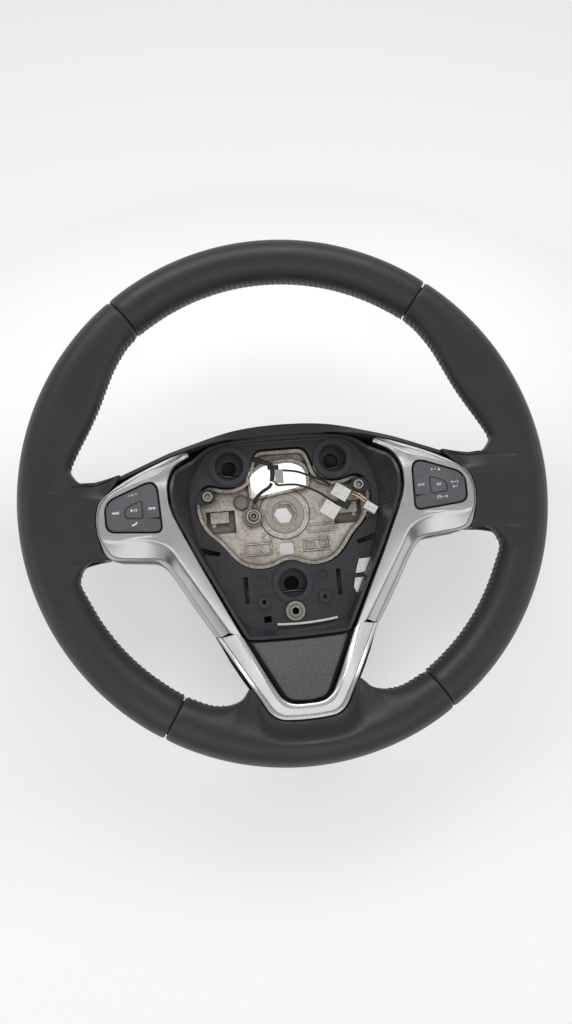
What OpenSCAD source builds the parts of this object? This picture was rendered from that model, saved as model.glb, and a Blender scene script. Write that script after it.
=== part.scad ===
// Three-spoke car steering wheel with the airbag module taken out, lying face up.
// The origin is the middle of the column bore at the hub's rear face. +Z points at the
// driver, +Y at twelve o'clock and +X at three o'clock. All lengths are in millimetres.

/* [Rim] */
// Outer diameter of the rim
rim_d = 370; // [364:1:380]
// Width of the grip, seen from the driver's seat
grip_w = 31; // [30:0.5:33]
// Height of the grip, front to back
grip_h = 31; // [29:0.5:33]
// Height of the rim's middle plane above the hub's rear face
rim_z = 68; // [67:0.5:70]
// Distance of the rim's centre above the column axis
rim_up = 8; // [6:0.5:10]
// How far the thumb rests reach inward
thumb_in = 10; // [0:1:12]
// Thickness of the leather
leather_t = 1.3; // [1:0.1:1.8]
// Gap at the seams between two panels
seam_w = 0.8; // [0.6:0.1:1.2]
// Angle of the upper seams from twelve o'clock
upper_seam = 38; // [36:1:40]
// Angle of the lower seams from twelve o'clock
lower_seam = 147.7; // [146:0.1:149]

/* [Armature] */
// Distance across the flats of the column bore
hex_af = 13.5; // [12:0.5:15]
// Outer radius of the steel hub insert
insert_r = 14.4; // [13:0.2:15]
// Height of the hub's front face
hub_top = 23; // [22:0.5:24]
// Height of the rear face of the hub plate
plate_z = 17; // [16:0.5:18]
// Thickness of the hub plate
plate_t = 5; // [4:0.5:5.5]
// Height of the plate's border rib above the plate
rib_h = 5; // [4:0.5:5.5]
// Width of the border rib
rib_w = 2.2; // [1.8:0.1:3]
// Width of the core inside the rim
core_w = 13; // [11:0.5:14]
// Height of the core inside the rim
core_h = 10; // [9:0.5:12]
// Wall of the core's channel
core_wall = 3; // [2.5:0.1:3.5]
// Width of a spoke of the casting
arm_w = 22; // [20:1:24]
// Thickness of a spoke of the casting
arm_t = 7; // [6:0.5:7.5]

/* [Trim] */
// Thickness of the bezels, the lower trim and the chin pad
trim_t = 2.2; // [1.8:0.1:2.4]
// Depth of the bezel's outer edge
lip_h = 5; // [4:0.5:6]
// Gap between the trim and what lies round it
trim_gap = 0.6; // [0.4:0.1:0.9]
// Wall of the back cover
cover_t = 2.4; // [2:0.1:2.8]
// Radius of the cover's rear ring
ring_r = 46; // [44:1:48]

/* [Tray] */
// Height of the front face of the tray's floor
tray_z = 34; // [33.5:0.5:35]
// Thickness of the tray
tray_t = 2.2; // [1.8:0.1:2.6]
// Distance of the upper sockets from the middle plane
socket_x = 38.6; // [38:0.1:39.5]
// Height of the upper sockets above the column axis
socket_y = 36.9; // [36.5:0.1:37.5]
// Distance of the lower socket below the column axis
low_socket_y = 52.3; // [52:0.1:53]
// Bore of a socket
socket_d = 21.2; // [20:0.2:22]
// Wall of a socket
socket_wall = 1.8; // [1.4:0.1:2]
// Radius of a socket's flange
flange_r = 14.5; // [14:0.1:15]
// Diameter of the spring wires
wire_d = 1.8; // [1.4:0.1:2]
// Distance of the metal bush below the column axis
bush_y = 72.8; // [72:0.1:73.5]
// Radius of the metal bush's flange
bush_r = 7.8; // [7:0.1:8]
// Radius of the head of a tray screw
screw_head_r = 4.2; // [3.8:0.1:4.6]

/* [Switches] */
// Distance of a switch from the middle plane
pod_x = 107.5; // [107:0.1:108]
// Height of a switch above the column axis
pod_y = 8; // [7.5:0.1:8.5]
// Depth of a switch's face below the rim's middle plane
pod_drop = 1.4; // [1.2:0.1:2]
// Angle by which a switch faces inward
pod_tilt = 5; // [4:0.5:6]
// Gap round the four-way pad
pad_gap = 0.9; // [0.7:0.1:1.1]
// Gap round the centre button
key_gap = 0.35; // [0.3:0.05:0.5]
// Travel of the centre button
press = 1; // [0.6:0.1:1.1]
// Wall of a switch housing
pod_wall = 1.2; // [1:0.1:1.3]
// Thickness of a circuit board
board_t = 1.6; // [1.2:0.1:1.8]

/* [Harness] */
// Diameter of the wrapped trunk
trunk_d = 3.6; // [3:0.1:4]
// Diameter of a lead
lead_d = 1.7; // [1.4:0.1:2]

/* [Hidden] */
eps = 0.01;
rim_r = rim_d / 2;
fit = 0.3;
seam_angle = asin(seam_w / 2 / (rim_r - grip_w / 2));

// Points and curves

function unit(v) = v / norm(v);
function xy(p) = [p[0], p[1]];
function flip(p) = [-p[0], for (i = [1 : len(p) - 1]) p[i]];
// The point at u, 0 to len(p) - 1, on a smooth curve through the points or rows p
function on_curve(p, u) = let (
        n = len(p),
        k = min(floor(u), n - 2),
        t = u - k,
        a = p[max(k - 1, 0)],
        b = p[k],
        c = p[k + 1],
        d = p[min(k + 2, n - 1)]
    ) b + 0.5 * t * (c - a + t * (2 * a - 5 * b + 4 * c - d + t * (3 * (b - c) + d - a)));
// The smooth curve through p, with sub steps from point to point
function through(p, sub) = [for (i = [0 : (len(p) - 1) * sub]) on_curve(p, i / sub)];
// An open path with rounded corners; a corner is [x, y, reach of the rounding]
function soft(p, n = 4) = [for (i = [0 : len(p) - 1])
    let (
        r = p[i][2],
        a = xy(p[max(i - 1, 0)]),
        b = xy(p[i]),
        c = xy(p[min(i + 1, len(p) - 1)])
    )
    each is_undef(r) || i == 0 || i == len(p) - 1 ? [b] :
        let (
            from = b + unit(a - b) * min(r, norm(a - b) * 0.48),
            to = b + unit(c - b) * min(r, norm(c - b) * 0.48)
        )
        [for (k = [0 : n]) let (t = k / n)
            (1 - t) * (1 - t) * from + 2 * t * (1 - t) * b + t * t * to]];
// The same for a closed outline
function soft_loop(p, n = 4) = let (
        m = len(p),
        q = soft([p[m - 1], each p, p[0]], n)
    ) [for (i = [1 : len(q) - 2]) q[i]];
// The right half of an outline, from the top down, and its mirror image
function both_halves(p) = [each p,
    for (i = [len(p) - 1 : -1 : 0]) if (abs(p[i][0]) > eps) flip(p[i])];
// A closed outline moved by d along its normals; a positive d makes a clockwise one smaller
function inset(p, d) = let (n = len(p)) [for (i = [0 : n - 1])
    let (
        t = unit(xy(p[(i + 1) % n]) - xy(p[(i + n - 1) % n])),
        m = is_list(d) ? d[i] : d
    )
    [p[i][0] + t[1] * m, p[i][1] - t[0] * m, for (k = [2 : 1 : len(p[i]) - 1]) p[i][k]]];
function at_z(p, z) = [for (i = [0 : len(p) - 1]) [p[i][0], p[i][1], is_list(z) ? z[i] : z]];

// Solids from rings of points

function strip_faces(m, n, closed) = [for (i = [0 : m - (closed ? 1 : 2)], j = [0 : n - 1])
    let (
        a = i * n + j,
        b = i * n + (j + 1) % n,
        c = ((i + 1) % m) * n + (j + 1) % n,
        d = ((i + 1) % m) * n + j
    )
    each [[a, b, c], [a, c, d]]];
function flipped(faces) = [for (f = faces) [f[2], f[1], f[0]]];
// Rings that run out over one skin and back over the other, so that the last meets the first
module shell(rings) {
    polyhedron([for (r = rings) each r], flipped(strip_faces(len(rings), len(rings[0]), true)));
}
// Sections of a plate: each holds its front points, then its rear points in reverse
module plate_loft(rings) {
    m = len(rings);
    n = len(rings[0]);
    h = n / 2;
    ladder = [for (j = [0 : h - 2]) each [[j + 1, j, n - 1 - j], [j + 1, n - 1 - j, n - 2 - j]]];
    far = [for (f = ladder) [for (k = [2, 1, 0]) f[k] + (m - 1) * n]];
    polyhedron([for (r = rings) each r], flipped([each strip_faces(m, n, false), each ladder, each far]));
}
module mirrored() {
    children();
    mirror([1, 0, 0]) children();
}

// Trim edges. A row holds the outer edge, the ridge and the inner edge of a trim piece, the
// heights counted from the rim's middle plane. The rows run from the upper tip of a bezel
// round its outer end and down to the lower trim.

bezel_rows = [
    [[67.6, 46.2, -18.8], [67.4, 45, -18.2], [67.4, 43.6, -18.6]],
    [[71, 46.9, -18], [70.6, 44.8, -17], [70.4, 42, -17.6]],
    [[80.8, 43.4, -15.5], [79.2, 38.6, -11.2], [77.4, 36.6, -13.2]],
    [[101.1, 34.2, -10], [92, 30.2, -3], [81, 30.4, -8.6]],
    [[115, 26.4, -6], [107, 25, -0.6], [83.2, 22.5, -5]],
    [[124, 19.8, -3], [121.5, 18.8, 0.2], [83.6, 15, -3.6]],
    [[130.7, 12.9, -1], [128.6, 11.5, 0.6], [83.2, 9, -3.5]],
    [[133.2, 3.6, -0.3], [131, 3.2, 0.8], [82, 4, -3.5]],
    [[133.3, -3.5, -0.2], [131.2, -3.2, 0.8], [81, 0.5, -3.5]],
    [[132, -12, -0.6], [130, -11.6, 0.6], [79.5, -3, -3.6]],
    [[126.7, -25, -2.5], [124, -13.2, 0], [77.5, -8, -3.9]],
    [[112, -27.9, -5.5], [108, -13.4, -0.6], [75.2, -13.2, -4.4]],
    [[96.8, -29.3, -10], [95, -15.8, -1.6], [72.3, -19.5, -5.5]],
    [[90.3, -33.5, -12.5], [84.5, -22, -3.5], [69, -27, -6.8]],
    [[84.8, -40.9, -14.5], [77, -34.5, -6], [64, -38, -8.7]],
    [[73, -62.5, -19.5], [62, -60, -11.5], [53.5, -60, -12.8]],
    [[59.2, -85.8, -24.5], [48.7, -83.5, -17], [40.2, -88, -17]]];
lower_rows = [
    [[58.7, -86.7, -24.2], [48.2, -84.4, -16.9], [39.7, -88.9, -16.9]],
    [[49.6, -104.8, -18], [40.5, -102, -12.5], [31.5, -105, -13]],
    [[39.4, -122.3, -10.2], [32.5, -119, -7.2], [22.8, -122.5, -7.8]],
    [[33.3, -131.8, -7.5], [27.8, -128.6, -5.6], [18.8, -129.8, -6]],
    [[27.4, -140.6, -6.2], [23, -136.4, -4.8], [15.6, -133, -5.4]],
    [[20, -145.4, -5.7], [17.5, -140.3, -4.5], [12.2, -135, -5.2]],
    [[10, -146.7, -5.5], [9, -141.6, -4.4], [7, -136, -5.1]],
    [[0, -147, -5.5], [0, -141.9, -4.4], [0, -136.2, -5.1]]];
// The upper edge of the back cover's crown, which ends where the leather begins
crown_rows = [[0, 61.6, -15.2], [16, 61.2, -15.2], [32, 59.6, -15.2], [45, 57, -15.2],
    [60, 52.9, -15.2], [80.8, 46.9, -15.6], [101.5, 39, -16], [116, 33.4, -16.4],
    [121.6, 30.6, -16.4], [123.4, 26, -14]];
// Width of the ledge along the outer edge, and the step from it to the flank
lip_w = 3.4;
lip_step = 0.9;
wall_in = 6;
// A point pushed out from a middle point by d
function pushed(p, middle, d) = [each xy(p) + unit(xy(p) - middle) * d, p[2]];
bezel_middle = [95, 2];
chin_middle = [0, -100];

// One section of a trim piece, from the foot of its outer edge to the foot of its inner edge
function trim_section(row) = let (
        o = row[0] + [0, 0, rim_z],
        c = row[1] + [0, 0, rim_z],
        i = row[2] + [0, 0, rim_z],
        in = unit([each xy(i) - xy(o), 0]),
        room = min(1, norm(xy(i) - xy(o)) / 12),
        t = trim_t * room,
        lip = min(lip_w * room, norm(xy(c) - xy(o)) * 0.4),
        down = [0, 0, -1],
        front = [
            o + down * lip_h,
            o + down * 0.4,
            o + in * lip,
            o + in * (lip + 0.3) - down * lip_step * room,
            c + (o - c) * 0.16 + down * 0.2,
            c,
            (c + i) / 2,
            i - in * 0.8,
            i + down * 0.9,
            i + down * wall_in
        ],
        rear = [
            o + down * lip_h + in * t,
            o + down * (t + 0.4) + in * t,
            o + in * (lip + 0.2) + down * t,
            o + in * (lip + 0.5) + down * (t - lip_step * room),
            c + (o - c) * 0.16 + down * (t + 0.2),
            c + down * t,
            (c + i) / 2 + down * t,
            i - in * (t + 0.8) + down * t,
            i - in * t + down * (t + 0.9),
            i - in * t + down * wall_in
        ]
    ) [each front, for (k = [len(rear) - 1 : -1 : 0]) rear[k]];

module bezel_right() {
    difference() {
        plate_loft([for (r = through(bezel_rows, 2)) trim_section(r)]);
        in_pod() translate([0, 0, -8]) linear_extrude(16) polygon(pod_opening);
    }
}
module left_bezel() color("silver") mirror([1, 0, 0]) bezel_right();
module right_bezel() color("silver") bezel_right();
module lower_trim() {
    half = through(lower_rows, 2);
    last = len(half) - 1;
    rows = [each half, for (k = [last - 1 : -1 : 0]) [for (p = half[k]) flip(p)]];
    color("gainsboro") plate_loft([for (r = rows) trim_section(r)]);
}

// The panel inside the lower trim, crowned, with side walls
chin_rows = [[36.2, -92.4, -17.6], [30.6, -103.5, -14], [24.5, -115, -10.6], [18.6, -126.5, -7.9],
    [15.4, -131, -7.2], [10.5, -133.4, -6.9]];
chin_crown = 1.2;
chin_wall = 6.4;
chin_ledge = 3;
function chin_section(r) = let (
        z = rim_z + r[2],
        w = r[0] - trim_gap,
        bow = 1.1,
        foot = z - chin_wall,
        crown = [for (k = [-2 : 2]) [w * k * 0.36, r[1] - bow * (1 - k * k / 6), z + chin_crown * (1 - k * k * 0.2)]],
        front = [
            [-w - chin_ledge, r[1], foot + 0.8],
            [-w, r[1], foot + 1.2],
            [-w, r[1], z - 1],
            [-w + 1, r[1], z],
            each crown,
            [w - 1, r[1], z],
            [w, r[1], z - 1],
            [w, r[1], foot + 1.2],
            [w + chin_ledge, r[1], foot + 0.8]
        ],
        rear = [
            [-w - chin_ledge, r[1], foot],
            [-w + trim_t * 0.5, r[1], foot],
            [-w + trim_t, r[1], z - 1 - trim_t],
            [-w + trim_t + 0.4, r[1], z - 0.6 - trim_t],
            each [for (p = crown) p - [0, 0, trim_t]],
            [w - trim_t - 0.4, r[1], z - 0.6 - trim_t],
            [w - trim_t, r[1], z - 1 - trim_t],
            [w - trim_t * 0.5, r[1], foot],
            [w + chin_ledge, r[1], foot]
        ]
    ) [each front, for (k = [len(rear) - 1 : -1 : 0]) rear[k]];
module chin_pad() color("#3a3b40") plate_loft(reversed([for (r = through(chin_rows, 2)) chin_section(r)]));

// The rim. A station is [angle from twelve o'clock, x and y of the inner edge, upper and lower
// height of the inner edge from the rim's middle plane, share of spoke shape, tuck at a seam].

function inner_r(s) = rim_r - grip_w
    - (s > upper_seam && s < upper_seam + 50 ? thumb_in * pow(sin((s - upper_seam) * 3.6), 2) : 0);
function plain(s, tuck = 0) =
    [s, inner_r(s) * sin(s), rim_up + inner_r(s) * cos(s), 0.6, -0.6, 0, tuck];
function by_trim(s, p, middle, d, below, w, reach = trim_gap) = [s,
    pushed(p, middle, reach)[0], pushed(p, middle, reach)[1], p[2] - d, p[2] - below, w, 0];
function free_edge(s, x, y, top, low, w) = [s, x, y, top, low, w, 0];
tuck = 0.9;
top_stations = [for (s = [0, 7, 14, 21, 28, 34, upper_seam - seam_angle * 3]) plain(s),
    plain(upper_seam - seam_angle, tuck)];
side_stations = [
    plain(upper_seam + seam_angle, tuck),
    plain(upper_seam + seam_angle * 3),
    for (s = [43, 49, 55, 61, 67, 73]) plain(s),
    free_edge(77.5, 147.5, 38, 0.6, -0.6, 0.1),
    free_edge(80, 146, 32.2, 0, -3, 0.3),
    free_edge(81.8, 142.3, 28.6, -1, -8, 0.5),
    free_edge(83, 137, 27, -3, -14, 0.7),
    free_edge(84, 130.5, 27.8, -7, -20, 0.85),
    by_trim(84.8, crown_rows[8], bezel_middle, -2, 12, 0.95),
    by_trim(85.8, bezel_rows[5][0], bezel_middle, 0.6, 25, 1),
    by_trim(89, bezel_rows[6][0], bezel_middle, 0.4, 27, 1),
    by_trim(93, bezel_rows[7][0], bezel_middle, 0.4, 28, 1),
    by_trim(96, bezel_rows[8][0], bezel_middle, 0.4, 28, 1),
    by_trim(99.4, bezel_rows[9][0], bezel_middle, 0.5, 27, 1),
    by_trim(100.7, on_curve(bezel_rows, 9.5)[0], bezel_middle, 1, 25, 0.98, 1),
    by_trim(102, bezel_rows[10][0], bezel_middle, 1.5, 22, 0.95, 1),
    free_edge(103.2, 131.5, -27.1, -3, -17, 0.7),
    free_edge(104.4, 137.6, -28.4, -1.5, -10, 0.5),
    free_edge(105.8, 142.4, -31.6, -0.2, -4, 0.3),
    free_edge(107.4, 145.4, -36.6, 0.5, -1.2, 0.15),
    free_edge(109.4, 146.2, -42, 0.6, -0.6, 0.05),
    for (s = [113, 119, 125, 131, 137, 143]) plain(s),
    plain(lower_seam - seam_angle * 3),
    plain(lower_seam - seam_angle, tuck)];
bottom_stations = [
    plain(lower_seam + seam_angle, tuck),
    plain(lower_seam + seam_angle * 3),
    free_edge(153, 66.5, -130, 0.6, -1, 0.05),
    free_edge(157, 57, -131.6, 0.4, -2, 0.15),
    free_edge(160.5, 49.5, -130.6, 0, -5, 0.3),
    free_edge(163, 44, -127.8, -3, -10, 0.5),
    by_trim(165, lower_rows[2][0], chin_middle, -1, 12, 0.7, 1),
    by_trim(167.5, lower_rows[3][0], chin_middle, 0.6, 16, 0.4),
    by_trim(170.5, lower_rows[4][0], chin_middle, 0.6, 18, 0.4),
    by_trim(173.6, lower_rows[5][0], chin_middle, 0.5, 18, 0.4),
    by_trim(177, lower_rows[6][0], chin_middle, 0.5, 18, 0.4),
    by_trim(180, lower_rows[7][0], chin_middle, 0.5, 18, 0.4)];
// The mirror image of a station runs the other way round the rim
function far_side(st) = [-st[0], -st[1], for (k = [2 : 6]) st[k]];
function reversed(p) = [for (k = [len(p) - 1 : -1 : 0]) p[k]];
function mirror_run(p) = [for (st = reversed(p)) far_side(st)];

// The closed section of the rim at a station, t inside the leather's outer surface
function rim_section(st, t, out_n, in_n) = let (
        inner = [st[1], st[2]],
        outer = [rim_r * sin(st[0]), rim_up + rim_r * cos(st[0])],
        u = unit(outer - inner),
        a = grip_w / 2,
        d = t + st[6],
        c = outer - u * a,
        reach = norm(outer - inner) - a - d,
        b = grip_h / 2 - d,
        lobe = min(1, max(0, (st[3] - st[4] - 1.2) / 10)),
        top = st[3] - d * lobe,
        low = st[4] + d * lobe
    ) [
        for (k = [0 : out_n]) let (f = -90 + 180 * k / out_n)
            [each c + u * (a - d) * cos(f), rim_z + b * sin(f)],
        for (k = [1 : in_n]) let (x = sin(90 * k / in_n), y = cos(90 * k / in_n))
            [each c - u * reach * x, rim_z + (1 - st[5]) * (b * y + top * x * x)
                + st[5] * (top + (b - top) * (0.5 + 0.5 * cos(180 * x)))],
        for (k = [in_n : -1 : 1]) let (x = sin(90 * k / in_n), y = cos(90 * k / in_n))
            [each c - u * reach * x, rim_z + (1 - st[5]) * (low * x * x - b * y)
                + st[5] * (low - (b + low) * (0.5 + 0.5 * cos(180 * x)))]
    ];
leather_out = 6;
leather_in = 4;
module leather(stations) {
    color("#37383d") difference() {
        shell([
            for (st = stations) rim_section(st, 0, leather_out, leather_in),
            for (st = reversed(stations)) rim_section(st, leather_t, leather_out, leather_in)
        ]);
        spokes(fit);
    }
}
module leather_top() leather([each mirror_run(top_stations), for (k = [1 : len(top_stations) - 1]) top_stations[k]]);
module leather_right() leather(side_stations);
module leather_left() color("#37383d") mirror([1, 0, 0]) leather_right();
module leather_bottom() leather([each bottom_stations,
    for (k = [len(bottom_stations) - 2 : -1 : 0]) let (st = bottom_stations[k])
        [360 - st[0], -st[1], for (j = [2 : 6]) st[j]]]);

foam_play = 2;
module rim_foam() {
    right_half = [for (st = [each top_stations, each side_stations, each bottom_stations])
        [for (k = [0 : 5]) st[k], 0]];
    n = len(right_half);
    all = [each right_half, for (k = [n - 2 : -1 : 1]) let (st = right_half[k])
        [360 - st[0], -st[1], for (j = [2 : 6]) st[j]]];
    color("dimgray") difference() {
        shell([for (st = all) rim_section(st, leather_t + foam_play, 4, 3)]);
        core_ring(fit);
        spokes(fit);
    }
}

// The casting

core_r = rim_r - grip_w / 2;
// The rim's core is a channel that opens to the rear; c is the play round it
module core_ring(c = 0) {
    h = core_h / 2 + c;
    w = core_w / 2 + c;
    floor_z = h - core_wall - 2 * c;
    slot_w = w - core_wall - 2 * c;
    translate([0, rim_up, rim_z]) rotate_extrude($fn = 96) translate([core_r, 0])
        polygon([[-w, -h], [-slot_w, -h], [-slot_w, floor_z], [slot_w, floor_z], [slot_w, -h],
            [w, -h], [w, h], [-w, h]]);
}
arm_y = 3;
side_arm = [[52, plate_z + plate_t], [72, plate_z + plate_t + 2], [88, rim_z - 32],
    [122, rim_z - 18], [140, rim_z - 11], [core_r - core_w / 2 - 5, rim_z - 2],
    [core_r - core_w / 2 + core_wall, rim_z - 1]];
low_arm = [[66, plate_z + 6.3], [80, plate_z + 10], [95, rim_z - 31], [125, rim_z - 19],
    [146, rim_z - 11.6], [155, rim_z - 4], [core_r - rim_up - core_w / 2 + core_wall, rim_z - 1]];
// A spoke along +X, from its side view: a bar with a channel along its rear
module spoke(top, c) {
    bar = [each [for (p = top) p + [0, c]], each [for (p = reversed(top)) p - [0, arm_t + c]]];
    rotate([90, 0, 0]) translate([0, 0, -arm_w / 2 - c]) linear_extrude(arm_w + 2 * c) polygon(bar);
}
module spoke_groove(top) {
    groove = [each [for (p = top) p - [0, 3]], each [for (p = reversed(top)) p - [0, arm_t + 2]]];
    rotate([90, 0, 0]) translate([0, 0, 3 - arm_w / 2]) linear_extrude(arm_w - 6) polygon(groove);
}
module at_spokes() {
    mirrored() translate([0, arm_y, 0]) children(0);
    rotate([0, 0, -90]) children(1);
}
module spokes(c) {
    at_spokes() {
        spoke(side_arm, c);
        spoke(low_arm, c);
    }
}
plate_edge = both_halves(soft([[0, 47.5], [18.5, 47.5, 6], [22.4, 36, 6], [25, 25.5, 6], [36, 20.4, 6],
    [46, 21.5, 4], [57, 25, 8], [65, 15, 8], [64.5, 3, 6], [60, -9, 6],
    [49, -19, 6], [42.5, -28.5, 5], [34, -37, 8], [22, -40.3, 8], [12, -39, 8], [5, -35.5, 4],
    [0, -35]], 3));
window_edge = soft_loop([[-23.5, 13.6, 2], [-23.5, 31.5, 5], [-13, 38, 3], [9, 39.6, 5],
    [19.2, 34, 5], [19.2, 20, 2], [0, 17, 8]], 3);
screw_x = 56.3;
screw_y = 16;
screw_seat = tray_z - 4;
earth_x = -23.5;
earth_y = -0.5;
module boss(p, r, top) translate([p[0], p[1], plate_z]) cylinder(r = r, h = top - plate_z, $fn = 48);
module frame_mark(x, y, w, h) {
    translate([x, y, plate_z + plate_t - eps]) linear_extrude(0.7) difference() {
        square([w, h], center = true);
        square([w - 1.6, h - 1.6], center = true);
    }
}
pocket_floor = 1.2;
module ring_mark(x, y, r) {
    translate([x, y, plate_z + plate_t - eps]) linear_extrude(0.6) difference() {
        circle(r = r, $fn = 32);
        circle(r = r - 0.8, $fn = 32);
    }
}
module armature() {
    floor_z = plate_z + plate_t;
    color("#b5b0a4") difference() {
        union() {
            core_ring();
            spokes(0);
            translate([0, 0, plate_z]) linear_extrude(plate_t) polygon(plate_edge);
            translate([0, 0, plate_z]) linear_extrude(plate_t + rib_h) difference() {
                polygon(plate_edge);
                polygon(inset(plate_edge, rib_w));
            }
            translate([0, 0, plate_z]) linear_extrude(plate_t + 3) difference() {
                polygon(inset(window_edge, -rib_w * 0.8));
                polygon(window_edge);
            }
            cylinder(r = insert_r + 4.5, h = floor_z + 0.5, $fn = 96);
            mirrored() boss([screw_x, screw_y], 5.4, screw_seat);
            boss([earth_x, earth_y], 7.2, floor_z + 2);
            boss([-31.5, 11], 5.5, floor_z + 1);
            boss([20.5, -1.5], 4, floor_z + 0.6);
            mirrored() translate([0, 0, plate_z - 0.4]) linear_extrude(3.6) polygon([[37, -29], [20, -38],
                [14.4, -46], [14, -58.5], [8, -66.5], [8, -72], [arm_w / 2 - 0.5, -72], [20.5, -59], [24, -47]]);
            translate([0, -bush_y, plate_z + 3.4]) cylinder(r = bush_r - 0.2, h = 3.6, $fn = 48);
            frame_mark(-22, -25, 20, 9);
            frame_mark(22, -25, 20, 9);
            frame_mark(27, -12.5, 22, 6);
            ring_mark(17.6, -24.6, 3.3);
            ring_mark(27.4, -24.2, 3.3);
            ring_mark(-14.5, -16.5, 3.6);
        }
        translate([0, 0, -eps]) cylinder(r = insert_r + 0.05, h = hub_top + 2, $fn = 96);
        translate([0, 0, plate_z - 12]) linear_extrude(30) polygon(window_edge);
        translate([-0.5, -26, plate_z - 1]) linear_extrude(plate_t + 2)
            polygon(soft_loop([[-5.5, -4.5, 2], [-5.5, 4.5, 2], [5.5, 4.5, 2], [5.5, -4.5, 2]], 3));
        mirrored() difference() {
            translate([0, 0, plate_z + pocket_floor]) linear_extrude(rib_h)
                polygon([[37, -11], [37, 6], [58.5, 6], [58.5, -4], [54, -11]]);
            translate([48.5, 1.2, plate_z]) linear_extrude(plate_t - 0.8) square([13.4, 8.3], center = true);
        }
        mirrored() translate([screw_x, screw_y, plate_z + 2]) cylinder(r = 2.1, h = 20, $fn = 32);
        translate([earth_x, earth_y, plate_z - 1]) cylinder(r = 2.6, h = 20, $fn = 32);
        translate([0, -bush_y, plate_z]) cylinder(r = 2.6, h = 20, $fn = 32);
        translate([0, -bush_y, plate_z + 7]) cylinder(r = bush_r + 0.5, h = 20, $fn = 48);
        mirrored() translate([cover_screw_x, cover_screw_y, plate_z - 4]) cylinder(r = 1.45, h = 8, $fn = 32);
        translate([20.5, -1.5, floor_z + 0.2]) cylinder(r = 3.1, h = 5, $fn = 32);
        at_spokes() {
            spoke_groove([for (k = [1 : 5]) side_arm[k]]);
            spoke_groove([for (k = [1 : 5]) low_arm[k]]);
        }
    }
}
module hub_insert() {
    color("#9a948a") difference() {
        cylinder(r = insert_r, h = hub_top, $fn = 96);
        translate([0, 0, -eps]) cylinder(d = hex_af / cos(30), h = hub_top + 1, $fn = 6);
        translate([0, 0, hub_top - 0.6]) cylinder(r1 = insert_r * 0.62, r2 = insert_r * 0.7, h = 1, $fn = 96);
        translate([0, 0, hub_top - 1.2]) cylinder(d1 = hex_af / cos(30), d2 = hex_af / cos(30) + 1.4, h = 1, $fn = 6);
    }
}

// The back cover, from its front edge over a bowl to the ring that stands on the floor

cover_gap = 0.5;
cover_rows = [
    for (k = [0 : 8]) crown_rows[k],
    for (k = [5 : 16]) let (p = pushed(bezel_rows[k][0], bezel_middle, k < 10 ? -0.3 : 0.5))
        p - [0, 0, lip_h + cover_gap],
    for (k = [1 : 7]) let (p = pushed(lower_rows[k][0], chin_middle, k < 3 ? 0.5 : -0.3))
        p - [0, 0, lip_h + cover_gap]];
crown_flange = [5.6, 5.6, 5, 3.6, 2.6];
crown_dip = 9;
slope = 0.4;
function rear_z(p) = max(3, (norm(xy(p)) - ring_r) * slope);
function circle_like(edge, r, z) = [for (p = edge) [each unit(xy(p)) * r, z]];
function over_spoke(p) = (abs(p[0]) > 120 && abs(p[1] - arm_y) < arm_w / 2 + 6) || (abs(p[0]) < arm_w / 2 + 5 && p[1] < -100);
function low_edge(p) = rear_z(p) + cover_lip + 2.8;
cover_lip = 5;
module back_cover() {
    half = through(cover_rows, 2);
    edge = both_halves([for (p = half) p + [0, 0, rim_z]]);
    flange = [for (p = edge) let (k = min(len(crown_flange) - 1, abs(p[0]) / 15))
        max(cover_t, k < 4 ? on_curve(crown_flange, k) : cover_t)];
    // The edge drops where a spoke of the casting passes over it
    front = [for (p = edge) over_spoke(p) ? low_edge(p) : p[2]];
    under = [for (f = flange) 0.4 + (f - cover_t) * 0.8];
    dip = [for (f = flange) crown_dip * (f - cover_t) / 3.2];
    low = [for (p = edge) rear_z(p)];
    t = cover_t;
    color("#1d1d20") difference() {
        shell([
            at_z(edge, front),
            at_z(edge, low + [for (p = edge) cover_lip]),
            at_z(inset(edge, 3), low + [for (p = edge) 1.1]),
            circle_like(edge, ring_r + 2, 3),
            circle_like(edge, ring_r, 0),
            circle_like(edge, ring_r - t, 0),
            circle_like(edge, ring_r + 2 - t, 3 + t),
            at_z(inset(edge, 2.5 + t), low + [for (p = edge) 1.1 + t * 1.1]),
            at_z(inset(edge, t), low + [for (p = edge) cover_lip + t * 0.6]),
            at_z(inset(edge, t), front - dip - under),
            at_z(inset(edge, flange), front - dip - under * 0.6),
            at_z(inset(edge, flange), front - dip)
        ]);
        mirrored() translate([cover_screw_x, cover_screw_y, -1]) cylinder(r = 1.6, h = 30, $fn = 32);
    }
}
cover_screw_x = ring_r + 7;
cover_screw_y = -4;
module cover_screws() {
    z = rear_z([cover_screw_x, cover_screw_y]);
    color("silver") mirrored() translate([cover_screw_x, cover_screw_y, 0]) {
        translate([0, 0, z - 3]) cylinder(r = 3, h = 2, $fn = 48);
        translate([0, 0, z - 1.2]) cylinder(r = 1.4, h = 16, $fn = 32);
    }
}

// The airbag tray. A row is the top edge of its wall, then the foot of the wall on the floor.

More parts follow.
